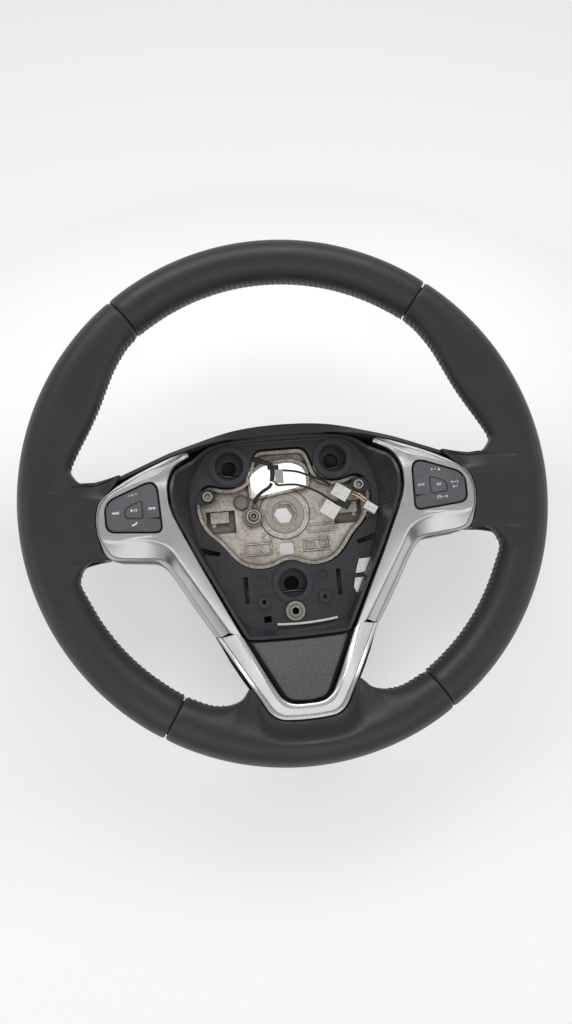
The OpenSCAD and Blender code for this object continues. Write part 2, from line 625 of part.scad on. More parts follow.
wall_drop = 4;
function under_inner(k, d) = let (p = pushed(bezel_rows[k][2], [20, 2], -d)) p - [0, 0, wall_drop];
tray_rows = [
    [[0, 55.3, -26.6], [0, 53]],
    [[22, 55, -26.6], [22, 53]],
    [[44, 53.4, -26.4], [43, 52]],
    [[56, 48.8, -24.8], [54, 46.4]],
    [[64.5, 42, -22.8], [61.5, 37.5]],
    [under_inner(2, 2.2), [66, 28]],
    [under_inner(3, 1.4), [68, 22]],
    [under_inner(4, 1.4), [69, 16]],
    [under_inner(5, 1.4), [69.4, 10]],
    [under_inner(7, 1.4), [69, 1]],
    [under_inner(9, 1.4), [68, -6]],
    [under_inner(11, 1.4), [65.6, -16]],
    [under_inner(13, 1.4), [61.5, -27]],
    [under_inner(14, 1.6), [57.5, -37]],
    [under_inner(15, 2.2), [48.9, -57]],
    [[39, -85.5, -20.6], [40.6, -73.5]],
    [[34, -90, -20.2], [33.4, -81]],
    [[18, -90.8, -20], [18, -83.4]],
    [[0, -91.1, -20], [0, -84.2]]];
slot_x = 34.1;
low_boss = [22.2, -64.4];
clip_x = 28;
module airbag_tray() {
    half = [for (r = through([for (r = tray_rows) [each r[0], each r[1]]], 2)) r];
    top = both_halves([for (r = half) [r[0], r[1], r[2] + rim_z]]);
    foot = both_halves([for (r = half) [r[3], r[4], tray_z]]);
    t = tray_t;
    floor_low = tray_z - t;
    color("#17171a") difference() {
        union() {
            shell([
                top,
                at_z(inset(foot, -t), floor_low - 0.4),
                at_z(inset(foot, 0.8), floor_low - 0.4),
                at_z(inset(foot, 0.8), tray_z + 0.4),
                at_z(foot, tray_z + 0.6),
                at_z(inset(top, t), [for (p = top) p[2]])
            ]);
            translate([0, 0, floor_low]) linear_extrude(t) difference() {
                polygon(inset([for (p = foot) xy(p)], -0.8));
                polygon(inset(plate_edge, -1));
            }
            mirrored() translate([0, 0, screw_seat]) linear_extrude(t) hull() {
                translate([screw_x, screw_y]) circle(r = 5.6, $fn = 32);
                translate([68, screw_y]) circle(r = 4, $fn = 32);
            }
            mirrored() translate([each low_boss, floor_low]) cylinder(r = 4.5, h = t + 3.6, $fn = 48);
            mirrored() translate([clip_x, -low_socket_y - 5.5, floor_low - 13]) cylinder(r = 2.6, h = 14, $fn = 32);
        }
        mirrored() translate([socket_x, socket_y, floor_low - 1]) cylinder(r = sleeve_r + fit, h = 5, $fn = 96);
        translate([0, -low_socket_y, floor_low - 1]) cylinder(r = sleeve_r + fit, h = 5, $fn = 96);
        translate([0, -bush_y, floor_low - 1]) cylinder(r = bush_r - 1.2 + fit, h = 5, $fn = 96);
        mirrored() translate([each low_boss, floor_low - 1]) cylinder(r = 1.5, h = 12, $fn = 32);
        mirrored() translate([low_boss[0], -49, tray_z - 1]) cylinder(r = 4.2, h = 3, $fn = 48);
        mirrored() translate([slot_x, -54.6, tray_z]) cube([3.2, 19, 12], center = true);
        mirrored() translate([0, 0, floor_low - 1]) linear_extrude(7)
            polygon([[50, -25.6], [65.5, -20.4], [65.5, -25.4], [51.5, -28.4]]);
        translate([-20.5, -77, tray_z]) cube([5.4, 4.6, 12], center = true);
        mirrored() translate([screw_x, screw_y, screw_seat - 1]) cylinder(r = 2.4, h = 5, $fn = 32);
        translate([0, -low_socket_y - 5.5, wire_z]) rotate([0, 90, 0]) cylinder(d = wire_d + 0.3, h = 80, center = true, $fn = 32);
    }
}

// Sockets for the pins of the airbag module, and the wires that catch the pins

sleeve_r = socket_d / 2 + socket_wall;
sleeve_low = tray_z - 19;
wire_z = tray_z - 12.6;
chord = 5.5;
module socket(turn) {
    color("#232326") difference() {
        union() {
            translate([0, 0, sleeve_low]) cylinder(r = sleeve_r, h = tray_z - sleeve_low, $fn = 96);
            translate([0, 0, tray_z + 0.1]) cylinder(r = flange_r, h = 1.8, $fn = 96);
            translate([0, 0, tray_z - eps]) cylinder(r = sleeve_r, h = 1, $fn = 96);
        }
        translate([0, 0, wire_z + 1.8]) cylinder(d = socket_d, h = 30, $fn = 96);
        translate([0, 0, sleeve_low - 1]) cylinder(r = 5.6, h = 30, $fn = 48);
        rotate(turn) translate([0, -chord, wire_z]) cube([60, wire_d + 0.5, 3.8], center = true);
    }
}
socket_turn = 12;
module socket_right() translate([socket_x, socket_y, 0]) socket(socket_turn);
module socket_left() mirror([1, 0, 0]) socket_right();
module socket_lower() {
    color("#232326") translate([0, -low_socket_y, 0]) difference() {
        socket(0);
        translate([0, low_socket_y - bush_y, tray_z - 2]) cylinder(r = bush_r + 0.4, h = 6, $fn = 96);
    }
}
module rod(a, b, d) {
    v = b - a;
    translate(a) rotate([0, acos(v[2] / norm(v)), atan2(v[1], v[0])]) cylinder(d = d, h = norm(v), $fn = 24);
}
module spring_wire_right() {
    reach = sleeve_r + 1.6;
    color("#8d8f92") translate([socket_x, socket_y, wire_z]) rotate(socket_turn) {
        rod([-reach, -chord, 0], [reach, -chord, 0], wire_d);
        rod([reach, -chord, 0], [reach, -chord, -5], wire_d);
        translate([reach, -chord, 0]) sphere(d = wire_d, $fn = 24);
    }
}
module spring_wire_left() mirror([1, 0, 0]) spring_wire_right();
module spring_wire_lower() {
    y = -low_socket_y - chord;
    color("#8d8f92") {
        rod([-slot_x, y, wire_z], [slot_x, y, wire_z], wire_d);
        mirrored() {
            rod([slot_x, y, wire_z], [slot_x, y + 13, wire_z], wire_d);
            translate([slot_x, y, wire_z]) sphere(d = wire_d, $fn = 24);
        }
    }
}
module damper_bush() {
    seat = plate_z + 7.1;
    color("#b9b39c") translate([0, -bush_y, 0]) difference() {
        union() {
            translate([0, 0, seat]) cylinder(r = bush_r - 1.6, h = tray_z - seat + 1, $fn = 96);
            translate([0, 0, tray_z + 0.2]) cylinder(r = bush_r, h = 1.8, $fn = 96);
            translate([0, 0, tray_z + 1]) cylinder(r = 4.6, h = 2, $fn = 96);
        }
        translate([0, 0, seat - eps]) cylinder(r = 2.5, h = 20, $fn = 48);
    }
}
// A pan-head screw standing on z = 0, with a star recess
module pan_screw(r, head_h, shank_r, shank) {
    difference() {
        union() {
            cylinder(r = r, h = head_h - 1, $fn = 64);
            translate([0, 0, head_h - 1]) cylinder(r1 = r, r2 = r - 0.9, h = 1, $fn = 64);
            translate([0, 0, -shank]) cylinder(r = shank_r, h = shank + eps, $fn = 32);
        }
        translate([0, 0, head_h - 2.2]) {
            cylinder(r = r * 0.46, h = 4, $fn = 48);
            for (a = [0 : 60 : 300]) rotate(a) translate([r * 0.46, 0, 0]) cylinder(r = r * 0.14, h = 4, $fn = 24);
        }
    }
}
module tray_screws() {
    color("#d8d6cc") mirrored() translate([screw_x, screw_y, screw_seat + tray_t]) pan_screw(screw_head_r, 2.6, 1.9, 10);
}

// Switches, in a frame of their own: z = 0 is the face of the four-way pad

module in_pod() translate([pod_x, pod_y, rim_z - pod_drop]) rotate([0, -pod_tilt, 0]) children();
pod_opening = soft_loop([[-17.2, 20, 11], [19.6, 5.3, 8.5], [19.4, -15.7, 6.5], [-18.8, -18.7, 6]], 5);
key_opening = soft_loop([[-6, 5.2, 2.5], [6.1, -0.1, 3.5], [6.1, -7, 2.5], [-6.1, -8, 2.5]], 3);
key_middle = [0, -2];
pivot_z = -4.6;
floor_top = -7.6;
floor_t = 1.1;
switch_z = -9.8;
board_z = -12.8;
lid_t = 1.4;
pin_r = 0.8;
pin_play = 0.05;
gimbal_out = 8;
gimbal_in = 6.2;
lug_from = 8.6;
lug_t = 2;
lug_r = 1.7;
plungers = [[14.2, 0], [-14.2, 0], [0, 11.6], [0, -11.9]];
pad_t = 2;
pod_out = 0.8;
module housing_right() {
    outer = inset(pod_opening, -pod_out);
    color("#202023") in_pod() difference() {
        union() {
            translate([0, 0, board_z]) linear_extrude(-2.6 - board_z) difference() {
                polygon(outer);
                polygon(inset(pod_opening, pod_wall - pod_out));
            }
            translate([0, 0, floor_top - floor_t]) linear_extrude(floor_t) polygon(inset(pod_opening, 0.4 - pod_out));
            translate([each key_middle, 0]) {
                for (a = [-1, 1]) translate([a * (lug_from + lug_t / 2), 0, 0]) {
                    translate([-lug_t / 2, -lug_r, floor_top - eps]) cube([lug_t, 2 * lug_r, pivot_z - floor_top]);
                    translate([-lug_t / 2, 0, pivot_z]) rotate([0, 90, 0]) cylinder(r = lug_r, h = lug_t, $fn = 48);
                }
                translate([-4.9, -4.9, floor_top - eps]) cube([9.8, 9.8, 1.4]);
            }
        }
        translate([each key_middle, 0]) {
            translate([-30, 0, pivot_z]) rotate([0, 90, 0]) cylinder(r = pin_r + pin_play, h = 60 - 15, $fn = 48);
            translate([-3.8, -3.8, -20]) cube([7.6, 7.6, 30]);
            translate([-26, 8, pivot_z]) cube([20, 20, 6]);
            for (p = plungers) translate([each p, floor_top - 5]) cylinder(r = 2.4, h = 10, $fn = 32);
        }
    }
}
module board_right() {
    color("#2f5d3a") in_pod() {
        translate([0, 0, board_z]) linear_extrude(board_t) polygon(inset(pod_opening, pod_wall - pod_out + 0.2));
        translate([each key_middle, board_z + board_t - eps]) {
            for (p = [each plungers, [0, 0]]) translate([each p, 0]) cylinder(r = 2.2, h = switch_z - board_z - board_t, $fn = 32);
        }
    }
}
module lid_right() color("#202023") in_pod() translate([0, 0, board_z - lid_t]) linear_extrude(lid_t) polygon(inset(pod_opening, -pod_out));
module gimbal_right() {
    color("#55565a") in_pod() translate([each key_middle, pivot_z]) {
        difference() {
            cube([2 * gimbal_out, 2 * gimbal_out, 2], center = true);
            cube([2 * gimbal_in, 2 * gimbal_in, 4], center = true);
        }
        for (a = [0 : 90 : 270]) rotate(a) translate([gimbal_out - 1, 0, 0]) rotate([0, 90, 0]) cylinder(r = pin_r, h = lug_from + lug_t - gimbal_out + 1 - 0.2, $fn = 48);
    }
}
// The raised key on the hub side, which falls away towards the centre button
module paddle() {
    intersection() {
        translate([0, 0, -0.5]) linear_extrude(3) polygon(inset(pod_opening, pad_gap + 0.5));
        translate([-19, -7.6, -0.4]) rotate([0, 4, 0]) cube([11.6, 12.6, 1.5]);
    }
}
module pad_right() {
    rim_edge = inset(pod_opening, pad_gap);
    color("#3b3c41") in_pod() difference() {
        union() {
            translate([0, 0, -pad_t]) linear_extrude(pad_t - 0.6) polygon(rim_edge);
            translate([0, 0, -0.6 - eps]) linear_extrude(0.6) polygon(inset(rim_edge, 0.5));
            translate([0, 0, -pad_t - 1.6]) linear_extrude(1.7) difference() {
                polygon(rim_edge);
                polygon(inset(rim_edge, 1.2));
            }
            translate([each key_middle, 0]) {
                for (a = [-1, 1]) translate([0, a * (lug_from + lug_t / 2), 0]) {
                    translate([-lug_r, -lug_t / 2, pivot_z]) cube([2 * lug_r, lug_t, -pad_t - pivot_z + eps]);
                    translate([0, lug_t / 2, pivot_z]) rotate([90, 0, 0]) cylinder(r = lug_r, h = lug_t, $fn = 48);
                }
                for (p = plungers) translate([each p, switch_z + 0.8]) cylinder(r = 1.6, h = -pad_t - switch_z - 0.8 + eps, $fn = 32);
            }
            translate([-4, -14.2, -0.3]) cube([9, 0.9, 0.8]);
            translate([15.4, -6.6, -0.3]) cube([0.8, 8, 0.8]);
            paddle();
        }
        translate([0, 0, -10]) linear_extrude(20) polygon(key_opening);
        translate([each key_middle, pivot_z]) rotate([90, 0, 0]) cylinder(r = pin_r + pin_play, h = 2 * (lug_from + lug_t) + 2, center = true, $fn = 48);
    }
}
module button_right() {
    cap = inset(key_opening, key_gap);
    color("#3b3c41") in_pod() {
        translate([0, 0, -2.4]) linear_extrude(2.4) polygon(cap);
        translate([0, 0, -eps]) linear_extrude(0.5) polygon(inset(cap, 0.5));
        translate([key_middle[0] - 3.4, key_middle[1] - 3.4, switch_z + press + 0.2]) cube([6.8, 6.8, -2.3 - switch_z - press]);
    }
}
module left_housing() mirror([1, 0, 0]) housing_right();
module right_housing() housing_right();
module left_board() mirror([1, 0, 0]) board_right();
module right_board() board_right();
module left_lid() mirror([1, 0, 0]) lid_right();
module right_lid() lid_right();
module left_gimbal() mirror([1, 0, 0]) gimbal_right();
module right_gimbal() gimbal_right();
module left_pad() mirror([1, 0, 0]) pad_right();
module right_pad() pad_right();
module left_button() mirror([1, 0, 0]) button_right();
module right_button() button_right();

// Harness on the hub plate

rib_top = plate_z + plate_t + rib_h;
lead_z = rib_top + 1.2;
// A round tube along the smooth curve through the points p
module tube(p, d, sub = 2, sides = 8) {
    line = through(p, sub);
    n = len(line);
    rings = [for (i = [0 : n - 1])
        let (
            t = unit(line[min(i + 1, n - 1)] - line[max(i - 1, 0)]),
            side = unit(cross(t, [0, 0, 1])),
            up = cross(side, t)
        )
        [for (k = [0 : sides - 1]) line[i] + d / 2 * (side * cos(360 * k / sides) + up * sin(360 * k / sides))]];
    near = [for (k = [sides - 1 : -1 : 0]) k];
    far = [for (k = [0 : sides - 1]) (n - 1) * sides + k];
    polyhedron([for (r = rings) each r], [near, each strip_faces(n, sides, false), far]);
}
trunk_route = [[-24, 44, 28], [-20, 42, 29], [-13, 39, 29.5], [-7.5, 36.8, 29], [-6.6, 33, 28.4], [-6.8, 28, 28], [-7.6, 24.4, 28]];
earth_route = [[-7.9, 23, 28], [-10, 20.2, 27.8], [-15, 17.4, 27.4], [-19, 14.2, 27], [-21.2, 10.8, 26.6], [-21.8, 8.4, 26.2]];
upper_route = [[-4.6, 32.4, 28.2], [4, 31.6, 28.2], [12, 30, 28.4], [20, 26.6, 28.8], [28, 22.8, 29], [36, 18, 29]];
lower_route = [[-5.6, 24.4, 28], [-3.4, 21.2, 28], [3, 21, 28], [11, 20.2, 28.2], [19, 17.2, 28.6], [26, 13.4, 28.8], [32, 9, 28.8], [37, 5, 28.6]];
copper_route = [[51, 9.6, 30], [54, 8, 31], [57, 5.2, 32.6], [59.6, 2, 34.4]];
module harness_trunk() color("#101012") tube(trunk_route, trunk_d);
module earth_lead() color("#101012") tube(earth_route, 2.6);
module upper_lead() color("#101012") tube(upper_route, lead_d);
module lower_lead() color("#101012") tube(lower_route, lead_d);
module copper_leads() {
    color("#b98352") {
        tube(copper_route, 1.2, 2, 8);
        translate([1.2, 1.6, 0.4]) tube(copper_route, 1.2, 2, 8);
    }
}
module cable_tie() {
    color("#0c0c0d") translate([-6.9, 34.6, 28.5]) difference() {
        union() {
            rotate([90, 0, 0]) cylinder(r = trunk_d / 2 + 1.3, h = 2.4, center = true, $fn = 32);
            translate([3.4, 0, 1]) cube([3.4, 3, 3.4], center = true);
        }
        rotate([90, 0, 0]) cylinder(r = trunk_d / 2 + 0.35, h = 6, center = true, $fn = 32);
    }
}
module flat_tag(p, turn, w, h, t, z) {
    translate([each p, z]) rotate(turn) linear_extrude(t)
        polygon(soft_loop([[-w / 2, -h / 2, 0.6], [-w / 2, h / 2, 0.6], [w / 2, h / 2, 0.6], [w / 2, -h / 2, 0.6]], 2));
}
tag_turn = -35;
module grey_sleeve() color("#a8a59d") flat_tag([-1.9, 27.4], 0, 6, 10.5, 0.8, lead_z + 1.1);
module upper_tag() color("#f2f1ec") flat_tag([42.9, 11.6], tag_turn, 12.6, 10, 0.6, lead_z + 2.2);
module lower_tag() color("#f2f1ec") flat_tag([33.9, -0.5], tag_turn - 2, 12.5, 10.8, 0.6, lead_z + 0.4);
module dark_connector() {
    color("#2c2c2e") translate([44.6, 3.6, rib_top + 0.2]) rotate(tag_turn) difference() {
        translate([-5, -3.2, 0]) cube([10, 6.4, 2.9]);
        translate([4, -2.2, 0.8]) cube([2, 4.4, 1.4]);
    }
}
module white_connector() {
    color("#ecebe2") translate([62.7, -2.5, tray_z + 0.3]) rotate(tag_turn) difference() {
        translate([-4.7, -2.9, 0]) cube([9.4, 5.8, 5]);
        for (x = [-1.6, 1.6]) translate([x - 0.7, -1.2, 4]) cube([1.4, 1.6, 2]);
    }
}
module earth_terminal() {
    z = plate_z + plate_t + 2;
    color("#c9c7bd") difference() {
        union() {
            translate([earth_x, earth_y, z]) cylinder(r = 6.6, h = 1, $fn = 64);
            translate([earth_x - 0.6, earth_y + 5, z]) cube([3, 3.4, 1]);
            translate([-21.8, 8.2, z + 2.2]) rotate([90, 0, 0]) cylinder(r = 2, h = 3.4, $fn = 32);
        }
        translate([earth_x, earth_y, z - 1]) cylinder(r = 2.8, h = 4, $fn = 48);
        translate([-21.8, 8.3, z + 2.2]) rotate([90, 0, 0]) cylinder(r = 1.4, h = 2, $fn = 32);
    }
}
module earth_screw() {
    z = plate_z + plate_t + 3;
    color("#aaa79c") translate([earth_x, earth_y, z]) {
        cylinder(r = 5.4, h = 1, $fn = 64);
        translate([0, 0, 1 - eps]) pan_screw(3.6, 3.2, 2.4, 6);
    }
}

// Two blank stickers on the tray's right wall, and the pale strip on its lower lip

function tray_wall(u, v) = let (
        r = on_curve([for (q = tray_rows) [each q[0], each q[1]]], u),
        out = unit([r[0] - r[3], r[1] - r[4]]) * tray_t,
        foot = [r[3], r[4], tray_z + 0.6],
        rim = [r[0] - out[0], r[1] - out[1], rim_z + r[2]]
    ) foot + (rim - foot) * v;
// One section of a sticker, from the tray's floor over the bend and up its wall
function label_section(u, on_floor, on_wall) = let (
        foot = tray_wall(u, 0),
        rim = tray_wall(u, 1),
        in = unit([each xy(foot) - xy(rim), 0]),
        up = unit(rim - foot),
        face = unit(in - up * (in * up)),
        p = [foot + in * on_floor, foot, foot + up * on_wall],
        n = [[0, 0, 1], unit([0, 0, 1] + face) * 1.1, face]
    ) [for (k = [0 : 2]) p[k] + n[k] * 0.8, for (k = [2 : -1 : 0]) p[k] + n[k] * 0.45];
module wall_labels() {
    color("white") {
        plate_loft([label_section(13.63, 5.6, 7), label_section(13.14, 6.2, 8.5)]);
        plate_loft([label_section(14.36, 4.4, 4.5), label_section(13.8, 4.6, 7.5)]);
    }
}
strip_r = 190;
module lip_strip() {
    color("#e8e7e2") translate([4, strip_r - 82.7, tray_z + 0.65]) difference() {
        intersection() {
            cylinder(r = strip_r, h = 1.2, $fn = 192);
            translate([-18, -strip_r - 5, -1]) cube([44, 12, 4]);
        }
        translate([0, 0, -1]) cylinder(r = strip_r - 1.5, h = 4, $fn = 192);
    }
}

armature();
hub_insert();
rim_foam();
leather_top();
leather_left();
leather_right();
leather_bottom();
back_cover();
cover_screws();
airbag_tray();
tray_screws();
socket_left();
socket_right();
socket_lower();
spring_wire_left();
spring_wire_right();
spring_wire_lower();
damper_bush();
left_bezel();
right_bezel();
lower_trim();
chin_pad();
left_housing();
left_board();
left_lid();
left_gimbal();
left_pad();
left_button();
right_housing();
right_board();
right_lid();
right_gimbal();
right_pad();
right_button();
earth_screw();
earth_terminal();
harness_trunk();
earth_lead();
upper_lead();
lower_lead();
copper_leads();
cable_tie();
grey_sleeve();
upper_tag();
lower_tag();
dark_connector();
white_connector();
wall_labels();
lip_strip();
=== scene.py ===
"""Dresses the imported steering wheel: leather, stitches, marks, leads, materials, light and camera."""

import math

import bmesh
import bpy
from mathutils import Matrix, Vector


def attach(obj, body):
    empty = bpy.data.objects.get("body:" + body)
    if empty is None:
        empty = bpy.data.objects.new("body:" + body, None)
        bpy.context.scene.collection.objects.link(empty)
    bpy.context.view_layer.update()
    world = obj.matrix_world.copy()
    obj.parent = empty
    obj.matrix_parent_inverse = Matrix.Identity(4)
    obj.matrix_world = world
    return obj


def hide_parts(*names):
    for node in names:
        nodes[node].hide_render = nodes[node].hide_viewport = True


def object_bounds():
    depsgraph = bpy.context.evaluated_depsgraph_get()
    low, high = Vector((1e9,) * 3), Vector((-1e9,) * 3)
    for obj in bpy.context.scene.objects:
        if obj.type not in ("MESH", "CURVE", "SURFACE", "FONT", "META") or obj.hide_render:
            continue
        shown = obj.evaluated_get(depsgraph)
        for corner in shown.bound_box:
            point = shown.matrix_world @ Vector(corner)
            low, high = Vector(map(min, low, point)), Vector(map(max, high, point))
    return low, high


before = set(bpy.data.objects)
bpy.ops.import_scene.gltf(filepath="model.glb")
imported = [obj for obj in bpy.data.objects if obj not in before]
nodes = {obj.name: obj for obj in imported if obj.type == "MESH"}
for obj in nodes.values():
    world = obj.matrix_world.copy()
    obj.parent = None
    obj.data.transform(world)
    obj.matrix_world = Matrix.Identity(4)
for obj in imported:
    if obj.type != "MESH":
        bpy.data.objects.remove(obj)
cad_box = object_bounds()
MM = 0.001


# Camera: where the photograph was taken from, in the part's own frame. The turn is an axis as long
# as its angle in radians.

CAMERA_AT = Vector((-58.14, -71.37, 650.09))
CAMERA_TURN = Vector((-0.11902, 0.08856, 0.09284))
CAMERA_LENS = 29.74


def add_camera():
    data = bpy.data.cameras.new("camera")
    data.sensor_width = 36
    data.lens = CAMERA_LENS
    data.clip_start = 0.01
    camera = bpy.data.objects.new("camera", data)
    view = Matrix.Rotation(CAMERA_TURN.length, 3, CAMERA_TURN.normalized())
    place = Matrix.Translation(CAMERA_AT * MM)
    camera.matrix_world = place @ view.transposed().to_4x4()
    bpy.context.scene.collection.objects.link(camera)
    bpy.context.scene.camera = camera


# Small helpers

def add_mesh(name, points, faces, body, material, smooth=True):
    """A mesh from points in millimetres, riding on a body."""
    mesh = bpy.data.meshes.new(name)
    mesh.from_pydata([Vector(p) * MM for p in points], [], faces)
    mesh.materials.append(material)
    mesh.polygons.foreach_set("use_smooth", [smooth] * len(mesh.polygons))
    mesh.update()
    piece = bpy.data.objects.new(name, mesh)
    bpy.context.scene.collection.objects.link(piece)
    if body:
        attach(piece, body)
    return piece


def on_curve(points, u):
    """The point at u, 0 to len(points) - 1, on a smooth curve through the points."""
    k = min(int(u), len(points) - 2)
    t = u - k
    a = points[max(k - 1, 0)]
    b = points[k]
    c = points[k + 1]
    d = points[min(k + 2, len(points) - 1)]
    return [q + 0.5 * t * (r - p + t * (2 * p - 5 * q + 4 * r - s + t * (3 * (q - r) + s - p)))
            for p, q, r, s in zip(a, b, c, d)]


def through(points, steps):
    """A smooth curve through the points, in so many steps from each to the next."""
    return [on_curve(points, i / steps) for i in range((len(points) - 1) * steps + 1)]


def tube(line, radius, sides):
    """Points and faces of a round tube along a line; radius may be a function of the step."""
    points = []
    faces = []
    line = [Vector(p) for p in line]
    up = Vector((0, 0, 1))
    for i, middle in enumerate(line):
        along = (line[min(i + 1, len(line) - 1)] - line[max(i - 1, 0)]).normalized()
        side = along.cross(up).normalized()
        top = side.cross(along)
        r = radius(i) if callable(radius) else radius
        for k in range(sides):
            angle = math.tau * k / sides
            points.append(middle + r * (side * math.cos(angle) + top * math.sin(angle)))
    for i in range(len(line) - 1):
        for k in range(sides):
            a = i * sides + k
            b = i * sides + (k + 1) % sides
            faces.append([a, b, b + sides, a + sides])
    faces.append(list(range(sides - 1, -1, -1)))
    last = (len(line) - 1) * sides
    faces.append([last + k for k in range(sides)])
    return points, faces


# Materials. Stains and rings on the castings lie at places of the part's own frame, in metres.

HUB_AT = (0.0, 0.0)
PLUG_AT = (-0.0315, 0.011)
EARTH_AT = (-0.0235, -0.0005)
TRAY_SCREW_AT = (0.0563, 0.016)
BUSH_AT = (0.0, -0.0728)
PALER = 1.35


class Look:
    """A Principled material whose nodes are added one at a time, all in object coordinates."""

    def __init__(self, name, colour, rough, metallic=0.0):
        self.material = bpy.data.materials.new(name)
        self.material.use_nodes = True
        self.tree = self.material.node_tree
        self.shader = self.tree.nodes["Principled BSDF"]
        self.set("Base Color", (*colour, 1))
        self.set("Roughness", rough)
        self.set("Metallic", metallic)
        self.where = self.tree.nodes.new("ShaderNodeTexCoord").outputs["Object"]
        self.colour = None
        self.start = (*colour, 1)
        self.normal = None

    def set(self, socket, value):
        """Sets a constant on a socket of the shader."""
        self.shader.inputs[socket].default_value = value

    def noise(self, scale, detail, rough=0.5):
        node = self.tree.nodes.new("ShaderNodeTexNoise")
        node.inputs["Scale"].default_value = scale
        node.inputs["Detail"].default_value = detail
        node.inputs["Roughness"].default_value = rough
        self.tree.links.new(self.where, node.inputs["Vector"])
        return node.outputs["Fac"]

    def cells(self, scale, feature="F1"):
        node = self.tree.nodes.new("ShaderNodeTexVoronoi")
        node.feature = feature
        node.inputs["Scale"].default_value = scale
        self.tree.links.new(self.where, node.inputs["Vector"])
        return node.outputs["Distance"]

    def mapped(self, stretch):
        """Object coordinates, each multiplied by its stretch."""
        node = self.tree.nodes.new("ShaderNodeMapping")
        node.inputs["Scale"].default_value = stretch
        self.tree.links.new(self.where, node.inputs["Vector"])
        return node.outputs["Vector"]

    def away(self, middle, mirrored=False, stretch=(1, 1, 0)):
        """Distance from an upright axis at middle, in metres; mirrored takes both sides for one."""
        source = self.mapped(stretch)
        if mirrored:
            flat = self.tree.nodes.new("ShaderNodeVectorMath")
            flat.operation = "ABSOLUTE"
            self.tree.links.new(source, flat.inputs[0])
            source = flat.outputs["Vector"]
        node = self.tree.nodes.new("ShaderNodeVectorMath")
        node.operation = "DISTANCE"
        node.inputs[1].default_value = (*middle, 0.0)
        self.tree.links.new(source, node.inputs[0])
        return node.outputs["Value"]

    def ring(self, middle, inner, outer, edge=0.0002, mirrored=False):
        """1 between two radii round an upright axis, in metres."""
        apart = self.away(middle, mirrored)
        rise = self.band(apart, inner - edge, inner + edge)
        return self.times(rise, self.band(apart, outer - edge, outer + edge, 1, 0))

    def times(self, first, second, operation="MULTIPLY"):
        """Two values multiplied, or joined by another operation."""
        node = self.tree.nodes.new("ShaderNodeMath")
        node.operation = operation
        for socket, value in zip(node.inputs, (first, second)):
            if isinstance(value, (int, float)):
                socket.default_value = value
            else:
                self.tree.links.new(value, socket)
        return node.outputs[0]

    def height(self):
        """Height over the part's lowest plane, in metres."""
        node = self.tree.nodes.new("ShaderNodeSeparateXYZ")
        self.tree.links.new(self.where, node.inputs[0])
        return node.outputs["Z"]

    def recess_shade(self, reach):
        """1 in corners and recesses, 0 on open faces; the mask for painted shade."""
        node = self.tree.nodes.new("ShaderNodeAmbientOcclusion")
        node.samples = 6
        node.only_local = True
        node.inputs["Distance"].default_value = reach
        return self.band(node.outputs["AO"], 0.45, 0.95, 1, 0)

    def band(self, source, low, high, to_low=0.0, to_high=1.0):
        """Maps low..high of the source onto another range, and holds it there outside."""
        node = self.tree.nodes.new("ShaderNodeMapRange")
        node.inputs["From Min"].default_value = low
        node.inputs["From Max"].default_value = high
        node.inputs["To Min"].default_value = to_low
        node.inputs["To Max"].default_value = to_high
        self.tree.links.new(source, node.inputs["Value"])
        return node.outputs["Result"]

    def tint(self, factor, colour):
        """Blends a further colour in where the factor is 1."""
        node = self.tree.nodes.new("ShaderNodeMix")
        node.data_type = "RGBA"
        node.inputs[6].default_value = self.start
        if self.colour is not None:
            self.tree.links.new(self.colour, node.inputs[6])
        node.inputs[7].default_value = (*colour, 1)
        self.tree.links.new(factor, node.inputs[0])
        self.colour = node.outputs[2]
        self.tree.links.new(self.colour, self.shader.inputs["Base Color"])
        return self

    def rough(self, factor):
        """Lets a factor set the roughness."""
        self.tree.links.new(factor, self.shader.inputs["Roughness"])
        return self

    def bump(self, height, depth, strength=1.0):
        """Raises the surface by depth, in metres, where the height is 1."""
        node = self.tree.nodes.new("ShaderNodeBump")
        node.inputs["Strength"].default_value = strength
        node.inputs["Distance"].default_value = depth
        self.tree.links.new(height, node.inputs["Height"])
        if self.normal is not None:
            self.tree.links.new(self.normal, node.inputs["Normal"])
        self.normal = node.outputs["Normal"]
        self.tree.links.new(self.normal, self.shader.inputs["Normal"])
        return self


def leather_look():
    """Smooth grained leather with a slight unevenness from handling."""
    look = Look("leather", (0.019, 0.019, 0.023), 0.42)
    look.tint(look.band(look.noise(14, 3), 0.3, 0.7), (0.025, 0.025, 0.030))
    look.rough(look.band(look.noise(40, 4), 0.3, 0.7, 0.38, 0.48))
    look.bump(look.cells(900, "SMOOTH_F1"), 0.00012, 0.6)
    look.bump(look.noise(260, 3), 0.00022, 0.5)
    look.bump(look.noise(30, 2), 0.0008, 0.25)
    look.set("Specular IOR Level", 0.55)
    return look.material


def thread_look():
    look = Look("thread", (0.03, 0.03, 0.034), 0.6)
    look.bump(look.noise(3000, 2), 0.0001)
    return look.material


def satin_look():
    """Satin silver paint over moulded plastic, a little worn and handled."""
    look = Look("satin_silver", (0.64, 0.645, 0.655), 0.32, 1.0)
    look.tint(look.band(look.noise(30, 4), 0.45, 0.75, 0, 0.35), (0.54, 0.545, 0.56))
    look.rough(look.band(look.noise(90, 4), 0.3, 0.75, 0.26, 0.36))
    look.bump(look.noise(2600, 2), 0.00003, 0.5)
    return look.material


def bright_look(name, colour, rough, metallic):
    """Plated trim. The wide flank's copy, paler and less mirror-like than the bevel and the lip, is a
    painted highlight; the bezels' darker lip copy is painted shade.
    """
    look = Look(name, colour, rough, metallic)
    look.rough(look.band(look.noise(60, 3), 0.3, 0.75, rough - 0.04, rough + 0.04))
    look.bump(look.noise(1500, 2), 0.00002, 0.4)
    return look.material


